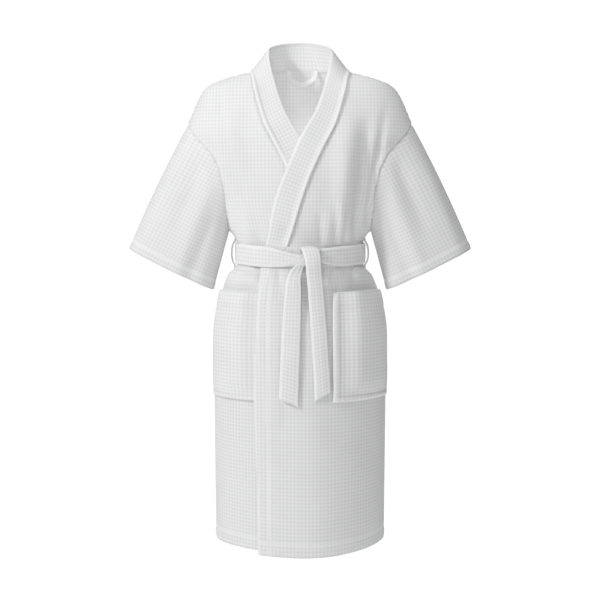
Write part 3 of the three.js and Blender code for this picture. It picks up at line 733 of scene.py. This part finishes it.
def band_half(over):
    """The band on one front: a grid of points from the belt up to the shoulder."""
    hand = 1 if over else -1
    z = np.linspace(BELT_Z, -NECK_DROP, 260)
    x = neck_seam(z)
    high = z + band_rise(z)
    edge = np.stack([band_free_edge(high), 0 * z, high], -1)
    on_chest = 1 - smooth(ON_CHEST, STANDING, high)
    edge[:, 1] = mix(band_side(high), body_point(edge[:, 0], high, -1)[:, 1], on_chest)
    seam = body_point(x, z, -1)
    across = strip_columns(BAND_WIDTH)
    share = (across / BAND_WIDTH)[None, :, None]
    overlap = BAND_LAP / np.linalg.norm(edge - seam, axis=1)[:, None, None]
    grid = mix(seam[:, None, :], edge[:, None, :], share * (1 + overlap) - overlap)
    px, pz = grid[..., 0], grid[..., 2]
    grid[..., 1] = mix(body_point(px, pz, -1)[..., 1], grid[..., 1], smooth(ON_CHEST, STANDING, pz))
    hidden = smooth(-170, -215, z)[:, None] if not over else smooth(-385, -400, z)[:, None]
    on_edge = BAND_LAP * (1 - smooth(3.0, 12, across))[None, :] * (1 - hidden)
    roll = -0.5 * bump(across, 30, 20)[None, :] + 0.6
    raised = lift(px, pz, over) + folds(hand * px, pz, -1) * smooth(-60, -110, pz)
    proud = raised - DOUBLE / 2 + on_edge + roll
    normal = body_normal(px, pz, -1)
    grid = grid + normal * proud[..., None]
    grid[..., 1] -= SEAM_GAP / 2
    grid[..., 0] *= hand
    return grid


def band_back():
    turn = np.linspace(0, math.pi, 122)[1:-1]
    x = NECK_HALF * np.cos(turn)
    seam = body_point(x, -NECK_DROP * (x / NECK_HALF) ** 2, 1)
    edge = np.stack([
        69 * np.cos(turn),
        2 + (NECK_DEPTH - 4) * np.sin(turn),
        mix(40, BAND_STAND, np.sin(turn)),
    ], -1)
    share = (strip_columns(BAND_WIDTH) / BAND_WIDTH)[None, :, None]
    grid = mix(seam[:, None, :], edge[:, None, :], share * 1.03 - 0.03)
    grid = grid + body_normal(x, seam[:, 2], 1)[:, None, :] * (0.9 - DOUBLE / 2)
    return grid


def relax(grid, first, last, times=40):
    """Rows from first to last settle towards the average of their neighbours."""
    for _ in range(times):
        before, after = grid[first - 1 : last - 1], grid[first + 1 : last + 1]
        grid[first:last] = (before + 2 * grid[first:last] + after) / 4


def collar_band():
    left, right = band_half(True), band_half(False)[::-1]
    grid = resample(np.concatenate([left, band_back(), right]), 2.0)
    length = along_length(grid)
    for along in (along_length(left)[-1], length[-1] - along_length(right)[-1]):
        join = np.searchsorted(length, along)
        relax(grid, join - 12, join + 12)
    return strip("collar_band_cloth", resample(grid), BAND_WIDTH)


collar = collar_band()

# %% [markdown]
# ## Pockets
# Each pocket is a patch with a deep hem at its mouth. Three sides are sewn down, and the mouth stands a
# little open, because the cloth behind it is drawn in by the belt.

# %% The pockets
POCKET_HEM = 36
POCKET_OPEN = 11  # how far the mouth stands off the robe
POCKET_THICK = 2.8
POCKET_RISE = 1.2  # how far the mouth's hem stands up, and how deep its stitches sink
POCKET_ROLL = 2.2  # how far the turned edge stands up
POCKET_OFF = 0.7  # between the pocket and the cloth
POCKET_WIDTH = 142  # of cloth, from its inner edge round to its outer edge
POCKET_BORDER = 8.0


def pocket_grid(over):
    hand = 1 if over else -1
    z = np.linspace(POCKET_TOP, POCKET_LOW, 2 * round(POCKET_HEIGHT / CELL) + 1)
    start = np.arcsin(POCKET_EDGE / half_width(z))
    end = math.radians(POCKET_TURN)
    share = strip_columns(POCKET_WIDTH, POCKET_BORDER)[None, :] / POCKET_WIDTH
    turn = mix(start[:, None], end, share)
    x = half_width(z)[:, None] * np.sin(turn)
    level = np.broadcast_to(z[:, None], x.shape)
    down = np.linspace(0, 1, len(z))[:, None]
    opened = smooth(0.12, 0.35, share) * smooth(0, 0.2, 1 - share) * smooth(0, 0.2, 1 - down)
    opened = opened * mix(1, 0.8, smooth(0.2, 0.9, down))
    sewn = np.minimum(share, 1 - share) * POCKET_WIDTH
    sewn = np.minimum(sewn, (1 - down) * POCKET_HEIGHT)
    border = POCKET_ROLL * smooth(0, 2, sewn) * (1 - smooth(7, 12, sewn))
    proud = POCKET_OFF + POCKET_THICK / 2 + border + POCKET_OPEN * opened
    hem = POCKET_RISE * (1 - smooth(POCKET_HEM - 2, POCKET_HEM + 5, down * POCKET_HEIGHT))
    groove = POCKET_RISE * bump(down * POCKET_HEIGHT, POCKET_HEM, 3)
    return on_robe(x, level, -1, hand, over, proud + hem - groove)


def pocket(name, over):
    return strip(name, pocket_grid(over), POCKET_WIDTH, POCKET_THICK, POCKET_BORDER, flip=not over)


pocket_left = pocket("left_pocket_cloth", True)
pocket_right = pocket("right_pocket_cloth", False)

# %% [markdown]
# ## The belt
# The belt is one flat strip, tied once in front. It narrows and creases as it runs into the knot. One
# end comes up behind, turns over the top of the knot and falls in front of it; the other leaves the knot
# from below. Both ends are drawn from inside the knot.

# %% The belt round the waist
KNOT_X = 17
BELT_THICK, BELT_BORDER = 3.0, 5.0
BELT_OFF = 0.6  # between the belt and the cloth, and once more for the cloth's walls
NARROW_LEFT, NARROW_RIGHT = 0.46, 0.34  # the share of its width that the belt loses at the knot


def belt_wrap():
    turn = np.linspace(0, 2 * math.pi, 721)
    front = np.cos(turn) > 0
    across = strip_columns(BELT_WIDTH, BELT_BORDER)
    up = BELT_WIDTH / 2 - across
    x_middle = half_width(BELT_Z) * np.sin(turn)
    left_in = smooth(-80, 8, x_middle) * (x_middle < KNOT_X)
    right_in = (1 - smooth(KNOT_X + 12, 95, x_middle)) * (x_middle >= KNOT_X)
    into = np.where(front, left_in + right_in, 0)
    squeeze = 1 - NARROW_LEFT * np.where(front, left_in, 0) - NARROW_RIGHT * np.where(front, right_in, 0)
    rise = np.where(front, 4 * right_in - 5 * left_in, 0)
    sag = np.where(front, BELT_SAG * np.cos(turn) ** 2, 0)
    z = BELT_Z + up[None, :] * squeeze[:, None] - (sag - rise)[:, None]
    x = half_width(z) * np.sin(turn)[:, None]
    over_edge = smooth(-119, -93, x)
    shallow = 2 * BELT_OFF + BELT_THICK / 2
    raised = np.where(front[:, None], shallow + (lift(x, BELT_Z + 0 * x, True) + 1) * over_edge, shallow)
    crease = np.sin(across / BELT_WIDTH * 5.2 * math.pi)[None, :] * 1.4 * into[:, None]
    raised = raised + crease + 2.0 * into[:, None]
    ways = [body_point(x, z, side) + body_normal(x, z, side) * raised[..., None] for side in (-1, 1)]
    return np.where(front[:, None, None], *ways)


belt_grid = resample(belt_wrap(), ring=True)
belt = strip("belt_cloth", belt_grid, BELT_WIDTH, BELT_THICK, BELT_BORDER, ring=True, flip=True)

# %% A strap along a few chosen points
def through(points, count=160):
    """A smooth line through a few points (a Catmull-Rom curve), with `count` points."""
    p = np.array(points, float)
    p = np.concatenate([[2 * p[0] - p[1]], p, [2 * p[-1] - p[-2]]])
    t = np.linspace(0, len(p) - 3 - 1e-9, count)
    i = t.astype(int)
    t = (t - i)[:, None]
    a, b, c, d = p[i], p[i + 1], p[i + 2], p[i + 3]
    return 0.5 * (2 * b + (c - a) * t + (2 * a - 5 * b + 4 * c - d) * t**2 + (3 * b - a - 3 * c + d) * t**3)


def strap_grid(points, ways, widths, full, crown, creases):
    """Points along the middle, the way across at each, and its width there."""
    line = through(points)
    side = unit(through(ways, len(line)))
    wide = through([(w, 0, 0) for w in widths], len(line))[:, :1]
    share = (strip_columns(full, BELT_BORDER) / full - 0.5)[None, :]
    tangent = np.gradient(line, axis=0)
    normal = unit(np.cross(tangent, side))
    fullness = 1 - np.clip(wide / full, 0, 1)
    rise = crown * (1 - (2 * share) ** 2) + creases * fullness * np.sin(share * 5.5 * math.pi)
    grid = line[:, None, :] + side[:, None, :] * (share * wide)[..., None]
    return grid + normal[:, None, :] * rise[..., None]


# %% The knot and the two ends
KNOT_Z = BELT_Z - BELT_SAG + 1
KNOT_LOW = KNOT_Z - 27
TAIL_TOP = KNOT_LOW - 0.6
LEFT_LENGTH, RIGHT_LENGTH = 275, 287
TAIL_WIDTH, END_SLANT = 38, 20
TAIL = TAIL_WIDTH, BELT_THICK, BELT_BORDER


def skirt_y(x, z):
    return body_point(x, z, -1)[..., 1]


FACE = float(skirt_y(KNOT_X, BELT_Z)) - 13  # the belt's outer face behind the knot


def tail_points(top, bottom, hang, length):
    """The middle of a hanging end, from the knot down over the skirt."""
    points = []
    for t in (0.06, 0.14, 0.25, 0.4, 0.6, 0.8, 1.0):
        x = mix(top, bottom, t**0.8)
        z = TAIL_TOP - t * length
        clear = float(skirt_y(x, z) - lift(x, z, True)) - 5.5
        points.append((x, min(mix(FACE - 14, clear, float(smooth(0, 0.5, t))), clear) - hang, z))
    return points


def slanted(grid, slant):
    """The free end is cut at a slant: the last rows stretch further on one side."""
    share = np.linspace(-0.5, 0.5, grid.shape[1])[None, :]
    t = np.linspace(0, 1, len(grid))[:, None]
    grid[..., 2] += share * slant * smooth(0.3, 1, t)
    return grid


# The end over the knot
over_path = [(18, FACE + 2, -407), (19, FACE - 5, -399), (21, FACE - 12, -400), (25, FACE - 16, -410),
             (28, FACE - 18, -424), (29, FACE - 17, -438), *tail_points(29, 50, 0.0, LEFT_LENGTH)]
over_ways = [(1, 0, 0), (1, 0, 0), (1, 0, -0.02), (1, 0, 0.08), (1, 0.0, 0.12), *[(1, 0.05, 0.06)] * 8]
over_widths = [36, 38, 38, 36, 34, 33, 33, 33, 34, 34, 34, 34, 34]
over_grid = resample(strap_grid(over_path, over_ways, over_widths, TAIL_WIDTH, 1.6, 2.2))
tail_left = strip("belt_end_left_cloth", slanted(over_grid, END_SLANT), *TAIL)
# The end from below the knot
under_path = [(8, FACE - 5, -422), (0, FACE - 9, -433), (-7, FACE - 10, -445),
              *tail_points(-12, -25, 1.0, RIGHT_LENGTH)]
under_ways = [(0.6, 0, 0.8), (0.9, 0, 0.4), (1, 0.1, 0), *[(1, -0.12, 0.0)] * 7]
under_widths = [26, 25, 26, 30, 35, 38, 40, 41, 42, 42]
under_grid = resample(strap_grid(under_path, under_ways, under_widths, TAIL_WIDTH, 1.2, 2.0))
tail_right = strip("belt_end_right_cloth", slanted(under_grid, -END_SLANT), *TAIL)
# The strip that crosses behind both ends
cross_path = [(-26, FACE + 5, -425), (-17, FACE + 1, -426), (-8, FACE - 4, -427), (2, FACE - 8, -427),
              (16, FACE - 9, -424), (32, FACE - 4, -418), (44, FACE + 4, -415)]
cross_ways = [(0.1, 0, 1), (0, 0, 1), (-0.16, 0.1, 1), (-0.1, 0, 1), (0.05, 0, 1), (0, 0, 1), (0, 0, 1)]
cross_widths = [26, 27, 27, 26, 27, 30, 28]
cross_grid = resample(strap_grid(cross_path, cross_ways, cross_widths, BELT_WIDTH, 2.2, 3.6))
knot = strip("belt_knot_cloth", cross_grid, BELT_WIDTH, BELT_THICK, BELT_BORDER, flip=True)

# %% [markdown]
# ## Belt loops and hanging loop
# The belt loops are narrow folded strips that bow out at the side seams. The hanging loop is smooth tape,
# caught at both ends in the back neck seam, and it droops forward a little.

# %% The narrow loops
LOOP_TAPE, LOOP_BORDER = 10, 4.5
LOOP_SEWN = 7  # at each end of a belt loop
BELT_LOOP_HIGH, BELT_LOOP_LOW = BELT_TOP + 10, BELT_LOW - 10


def belt_loop(name, hand):
    z = np.linspace(BELT_LOOP_HIGH, BELT_LOOP_LOW, 60)
    free = BELT_LOOP_HIGH - BELT_LOOP_LOW - 2 * LOOP_SEWN
    share = np.clip((BELT_LOOP_HIGH - LOOP_SEWN - z) / free, 0, 1)
    arch = np.clip(np.sin(np.pi * share), 0, 1)
    x = np.maximum(half_width(z) + 0.9, WAIST_HALF + 4 + 8 * arch**0.5) + 1.0
    across = strip_columns(LOOP_TAPE, LOOP_BORDER) - LOOP_TAPE / 2
    turned = hand * (x[:, None] + 0.3 * across[None, :])
    grid = np.stack(np.broadcast_arrays(turned, across[None, :], z[:, None]), -1)
    return strip(name, resample(grid, 2), LOOP_TAPE, 3.0, LOOP_BORDER, 0.1, flip=hand < 0, sewn=False)


belt_loop_left = belt_loop("left_belt_loop", 1)
belt_loop_right = belt_loop("right_belt_loop", -1)

low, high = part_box("hanging_loop")
loop_middle, loop_half = (low[0] + high[0]) / 2 / MM, (high[0] - low[0]) / 2 / MM
loop_depth, loop_top = (high[2] - low[2]) / MM, high[2] / MM


def hanging_loop():
    turn = np.linspace(0, math.pi, 90)
    across = (LOOP_TAPE - strip_columns(LOOP_TAPE, LOOP_BORDER))[None, :]
    x = loop_middle - (loop_half - across) * np.cos(turn)[:, None]
    z = loop_top + 1.5 - (loop_depth + 1.5 - across) * np.sin(turn)[:, None] ** 0.9
    share = (loop_top - z) / loop_depth
    y = high[1] / MM - 1.4 - (high[1] - low[1]) / MM * 0.72 * share
    y = y - 1.2 * np.sin(turn)[:, None] * (across / LOOP_TAPE - 0.5)
    grid = resample(np.stack([x, y, z], -1), 2)
    return strip("hanging_loop_tape", grid, LOOP_TAPE, CLOTH, LOOP_BORDER, 0.05, flip=True, sewn=False)


neck_loop = hanging_loop()

# %% [markdown]
# ## Stitches
# A row of stitches follows every hem, facing and pocket. One small node tree does them all: it walks
# along a curve in even steps and sets a short rounded stitch at each, turned to lie along the curve.

# %% Small helpers for nodes
def set_inputs(node, values):
    for key, value in values.items():
        node.inputs[key].default_value = value
    return node


def add_node(tree, kind, values=None, **settings):
    """A new node with its settings and the values of some of its inputs."""
    node = tree.nodes.new(kind)
    for key, value in settings.items():
        setattr(node, key, value)
    return set_inputs(node, values or {})


def wire(tree, *wires):
    """Each wire runs from one node's output to another node's input."""
    for source, out, target, into in wires:
        tree.links.new(source.outputs[out], target.inputs[into])


def add_paint(name, values):
    paint = bpy.data.materials.new(name)
    paint.use_nodes = True
    return paint, set_inputs(paint.node_tree.nodes["Principled BSDF"], values)


# %% The stitch tree
STITCH_LENGTH, STITCH_STEP, THREAD = 2.6, 3.8, 0.62
STITCH_LEVEL = -0.3  # how far a row lies below the plain cloth
SIZES = {"Step": STITCH_STEP, "Length": STITCH_LENGTH, "Thread": THREAD}


def stitch_tree():
    tree = bpy.data.node_groups.new("stitches", "GeometryNodeTree")
    sockets = {}
    for name in ("Geometry", *SIZES, "Material"):
        kind = "NodeSocket" + ("Float" if name in SIZES else name)
        sockets[name] = tree.interface.new_socket(name, in_out="INPUT", socket_type=kind)
    tree.interface.new_socket("Geometry", in_out="OUTPUT", socket_type="NodeSocketGeometry")
    given, result = add_node(tree, "NodeGroupInput"), add_node(tree, "NodeGroupOutput")
    walk = add_node(tree, "GeometryNodeCurveToPoints", mode="LENGTH")
    bead = add_node(tree, "GeometryNodeMeshUVSphere", {"Segments": 6, "Rings": 4, "Radius": 0.5})
    shape = add_node(tree, "ShaderNodeCombineXYZ")
    place = add_node(tree, "GeometryNodeInstanceOnPoints")
    real = add_node(tree, "GeometryNodeRealizeInstances")
    finish = add_node(tree, "GeometryNodeSetMaterial")
    wire(
        tree,
        (given, "Geometry", walk, "Curve"),
        (given, "Step", walk, "Length"),
        (given, "Thread", shape, "X"),
        (given, "Thread", shape, "Y"),
        (given, "Length", shape, "Z"),
        (walk, "Points", place, "Points"),
        (walk, "Rotation", place, "Rotation"),
        (bead, "Mesh", place, "Instance"),
        (shape, "Vector", place, "Scale"),
        (place, "Instances", real, "Geometry"),
        (real, "Geometry", finish, "Geometry"),
        (given, "Material", finish, "Material"),
        (finish, "Geometry", result, "Geometry"),
    )
    return tree, sockets


# %% [markdown]
# ## Cotton
# White cotton is never quite white: there are faint cloudy changes across the cloth, and single yarns
# cross each other about once a millimetre. The pits are painted a little darker than the walls, as
# painted shade for the shadow in them. The yarns are far too many to model, so they are a bump, worked
# out from the cloth's own two coordinates.

# %% The finishes
def cotton(name, ridge, pit, yarn, bump_height):
    """ridge and pit are colours, the pit one darker as painted shade for the pits, and yarn is the space
    between two yarns in millimetres.
    """
    look = {"Roughness": 0.92, "Specular IOR Level": 0.25, "Sheen Weight": 0.25, "Sheen Roughness": 0.5}
    paint, shader = add_paint(name, look)
    tree = paint.node_tree
    # The relief attribute moves the colour from the ridge colour to the darker pit colour: painted shade in
    # the pits
    relief = add_node(tree, "ShaderNodeAttribute", attribute_name="relief")
    share = add_node(tree, "ShaderNodeMapRange", {"From Min": -0.6, "From Max": 0.8})
    cells = add_node(tree, "ShaderNodeMix", {"A": (*pit, 1), "B": (*ridge, 1)}, data_type="RGBA")
    place = add_node(tree, "ShaderNodeTexCoord")
    clouds = add_node(tree, "ShaderNodeTexNoise", {"Scale": 9, "Detail": 3})
    faint = add_node(tree, "ShaderNodeMapRange", {"To Min": 0.955, "To Max": 1.02})
    tint = add_node(tree, "ShaderNodeVectorMath", operation="SCALE")
    grain = add_node(tree, "ShaderNodeAttribute", attribute_name="grain")
    parts = add_node(tree, "ShaderNodeSeparateXYZ")
    weave = add_node(tree, "ShaderNodeMath", operation="MULTIPLY")
    for number, axis in enumerate("XY"):
        turn = add_node(tree, "ShaderNodeMath", {1: 2 * math.pi / yarn}, operation="MULTIPLY")
        wave = add_node(tree, "ShaderNodeMath", operation="SINE")
        wire(tree, (parts, axis, turn, 0), (turn, "Value", wave, 0), (wave, "Value", weave, number))
    fuzz = add_node(tree, "ShaderNodeTexNoise", {"Scale": 900, "Detail": 2})
    height = add_node(tree, "ShaderNodeMath", operation="ADD")
    raised = add_node(tree, "ShaderNodeBump", {"Strength": 0.35, "Distance": bump_height})
    wire(
        tree,
        (relief, "Fac", share, "Value"),
        (share, "Result", cells, "Factor"),
        (place, "Object", clouds, "Vector"),
        (clouds, "Fac", faint, "Value"),
        (cells, "Result", tint, 0),
        (faint, "Result", tint, "Scale"),
        (tint, "Vector", shader, "Base Color"),
        (grain, "Vector", parts, "Vector"),
        (place, "Object", fuzz, "Vector"),
        (weave, "Value", height, 0),
        (fuzz, "Fac", height, 1),
        (height, "Value", raised, "Height"),
        (raised, "Normal", shader, "Normal"),
    )
    return paint


# The darker second colour of each finish is painted shade for the waffle pits
waffle_cotton = cotton("waffle_cotton", (0.90, 0.90, 0.898), (0.78, 0.78, 0.783), 1.0, 0.0003)
tape_cotton = cotton("tape_cotton", (0.90, 0.90, 0.898), (0.82, 0.82, 0.82), 0.7, 0.0002)
thread_cotton = cotton("thread_cotton", (0.92, 0.92, 0.915), (0.92, 0.92, 0.915), 0.5, 0.0001)

# %% Rows of stitches, each from points on its own piece
tree, sockets = stitch_tree()


def stitches(name, rows):
    """rows is a list of lines of points, in millimetres."""
    line = bpy.data.curves.new(name + "_line", "CURVE")
    line.dimensions = "3D"
    for points in rows:
        spline = line.splines.new("POLY")
        spline.points.add(len(points) - 1)
        flat = np.column_stack([np.asarray(points) * MM, np.ones(len(points))])
        spline.points.foreach_set("co", flat.astype(np.float32).ravel())
    carrier = add_object(name + "_line", line)
    modifier = carrier.modifiers.new("stitches", "NODES")
    modifier.node_group = tree
    for key, value in SIZES.items():
        modifier[sockets[key].identifier] = value * MM
    modifier[sockets["Material"].identifier] = thread_cotton
    bpy.context.view_layer.update()
    seen = carrier.evaluated_get(bpy.context.evaluated_depsgraph_get())
    mesh = bpy.data.meshes.new_from_object(seen)
    carrier.modifiers.clear()
    bpy.data.objects.remove(carrier)
    mesh.name = name
    shade_smooth(mesh)
    print(f"{name}: {len(mesh.polygons)} faces")
    return add_object(name, mesh)


def level_row(z, side, left, right, hand=1, over=False):
    """Stitches at one height, from one x to another."""
    half = half_width(z)
    turns = np.linspace(math.asin(left / half), math.asin(right / half), 120)
    return on_robe(half * np.sin(turns), z, side, hand, over, STITCH_LEVEL)


HEM_Z = HEM - ROBE_LENGTH
HEM_REACH = 0.99 * HEM_HALF
skirt_z = np.linspace(BELT_LOW - 4, -ROBE_LENGTH + 2, 300)
front_rows = {
    hand: [
        level_row(HEM_Z, -1, float(neck_seam(HEM_Z)) + 4, HEM_REACH, hand, hand > 0),
        on_robe(neck_seam(skirt_z) + 0.94 * FACING, skirt_z, -1, hand, hand > 0, STITCH_LEVEL),
        on_robe(neck_seam(skirt_z) + 3.6, skirt_z, -1, hand, hand > 0, 0.1),
    ]
    for hand in (1, -1)
}
back_rows = [level_row(HEM_Z, 1, -HEM_REACH, HEM_REACH)]


def pocket_rows(over):
    grid = pocket_grid(over)
    across = strip_columns(POCKET_WIDTH, POCKET_BORDER)
    columns = [int(np.argmin(np.abs(across - d))) for d in (STITCH_IN, POCKET_WIDTH - STITCH_IN)]
    hem_row = round(POCKET_HEM / POCKET_HEIGHT * (len(grid) - 1))
    normal = grid_normals(grid) * (1 if over else -1)
    face = grid + normal * POCKET_THICK / 2
    return [face[:, columns[0]], face[:, columns[1]], face[-2, 3:-3], face[hem_row, 3:-3]]


body_stitches = stitches(
    "body_stitches", [*front_rows[1], *front_rows[-1], *back_rows, *pocket_rows(True), *pocket_rows(False)]
)


def sleeve_rows(hand):
    turns, _ = even_turns(160)
    turns = np.append(turns, 2 * math.pi)
    ends = sleeve_base(np.stack([turns, turns]), np.stack([0 * turns, 0 * turns + 1]))
    length = np.linalg.norm(ends[1] - ends[0], axis=-1)
    return [on_sleeve(turns, 1 - SLEEVE_STITCH / length, hand, np.full_like(turns, STITCH_LEVEL))]


SIDES = {1: "left", -1: "right"}
sleeve_stitches = {hand: stitches(SIDES[hand] + "_sleeve_stitches", sleeve_rows(hand)) for hand in SIDES}

# %% [markdown]
# ## What each piece is made of, and what it moves with
# The fronts, back, band, pockets and belt stay with the robe's body, and the hanging loop has a body of
# its own. The sleeves and belt ends have their placement baked into their points. Each sheet says what
# size it was cut to.

# %% Materials, bodies and cloth facts
BODY = "robe_body"
cloth_pieces = [
    (back_panel, "back_panel", "body_cloth", (0.50, 1.07), "hung"),
    (front_panel_left, "front_panel_left", "body_cloth", (0.32, 1.06), "hung"),
    (front_panel_right, "front_panel_right", "body_cloth", (0.32, 1.06), "hung"),
    (sleeve_left, "sleeve_left", "body_cloth", (0.46, 0.32), "hung"),
    (sleeve_right, "sleeve_right", "body_cloth", (0.46, 0.32), "hung"),
    (collar, "collar_band", "band_cloth", (0.064, 1.16), "hung"),
    (pocket_left, "pocket_left", "body_cloth", (0.15, 0.24), "hung"),
    (pocket_right, "pocket_right", "body_cloth", (0.15, 0.24), "hung"),
    (belt, "belt_wrap", "belt_cloth", (0.80, 0.046), "gathered"),
    (knot, "belt_knot", "belt_cloth", (0.075, 0.046), "gathered"),
    (tail_left, "belt_tail_left", "belt_cloth", (0.038, 0.34), "hung"),
    (tail_right, "belt_tail_right", "belt_cloth", (0.038, 0.31), "hung"),
    (belt_loop_left, "belt_loop_left", "loop_tape", (0.010, 0.07), "hung"),
    (belt_loop_right, "belt_loop_right", "loop_tape", (0.010, 0.07), "hung"),
    (neck_loop, "hanging_loop", "loop_tape", (0.010, 0.10), "hung"),
]
for piece, node, material_slot, flat, held in cloth_pieces:
    piece.data.materials.append(tape_cotton if material_slot == "loop_tape" else waffle_cotton)
    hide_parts(node)
    print(f"{piece.name}: cloth {area_of(piece):.4f} m2, flat {flat[0] * flat[1]:.4f} m2")

for piece in (back_panel, front_panel_left, front_panel_right, collar, pocket_left, pocket_right):
    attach(piece, BODY)
for piece in (belt, knot, belt_loop_left, belt_loop_right, body_stitches):
    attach(piece, BODY)
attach(neck_loop, "neck_loop")
# A sleeve and its stitches have their placement baked into their points
for hand, piece in ((1, sleeve_left), (-1, sleeve_right)):
    for part in (piece, sleeve_stitches[hand]):
        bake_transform(part)
# A belt end has its placement baked into its points
for piece, body, x in ((tail_left, "left_belt_end", 0.026), (tail_right, "right_belt_end", -0.003)):
    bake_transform(piece)

# %% [markdown]
# ## Floor, backdrop and light
# A white robe needs soft light with one clear side. The key lamp, high on the left, draws the cells and
# folds. A wide lamp in front and a pale room fill the shadows, and a small one above lights the far
# shoulder. A faint lamp inside the neck stands for the daylight that comes through thin cloth. The floor
# curves up behind into a plain pale wall.

# %% Floor and backdrop
FLOOR, FLOOR_NEAR, FLOOR_FAR, BEND = -1.75, -2.6, 3.2, 1.6  # metres
WALL_TOP, HALF_SPAN = 5.0, 3.6


def backdrop():
    turns = np.linspace(0.1, math.pi / 2, 12)
    bend = [(FLOOR_FAR + BEND * math.sin(a), FLOOR + BEND - BEND * math.cos(a)) for a in turns]
    profile = [(FLOOR_NEAR, FLOOR), (FLOOR_FAR, FLOOR), *bend, (FLOOR_FAR + BEND, WALL_TOP)]
    points = [(x, y, z) for y, z in profile for x in (-HALF_SPAN, HALF_SPAN)]
    faces = [(2 * i, 2 * i + 1, 2 * i + 3, 2 * i + 2) for i in range(len(profile) - 1)]
    mesh = bpy.data.meshes.new("backdrop")
    mesh.from_pydata(points, [], faces)
    shade_smooth(mesh)
    look = {"Base Color": (0.93, 0.93, 0.93, 1), "Roughness": 1, "Specular IOR Level": 0}
    paint, _ = add_paint("pale_backdrop", look | {"Emission Color": (1, 1, 1, 1), "Emission Strength": 0.62})
    mesh.materials.append(paint)
    return add_object("backdrop", mesh)


backdrop()

# %% Lights
def lamp(name, place, target, size, power):
    light = bpy.data.lights.new(name, "AREA")
    light.shape = "DISK"
    light.size = size
    light.energy = power
    holder = add_object(name, light)
    holder.location = place
    way = np.array(target, float) - np.array(place, float)
    level = math.hypot(way[0], way[1])
    holder.rotation_euler = (math.atan2(level, -way[2]), 0, math.atan2(-way[0], way[1]))


lamp("key", (-2.1, -1.5, 1.25), (0, 0, -0.5), 0.45, 45)
lamp("soft_front", (-0.3, -2.5, 0.0), (0, 0, -0.3), 0.7, 11)
lamp("top", (0.34, -0.62, 1.05), (0.1, 0, -0.05), 0.4, 5.4)
lamp("glow_inside", (0, -0.04, -0.40), (0, 0.09, -0.02), 0.1, 0.42)
room = bpy.data.worlds.new("room")
room.use_nodes = True
set_inputs(room.node_tree.nodes["Background"], {"Color": (0.97, 0.98, 1, 1), "Strength": 0.2})
bpy.context.scene.world = room
bpy.context.scene.view_settings.view_transform = "Standard"
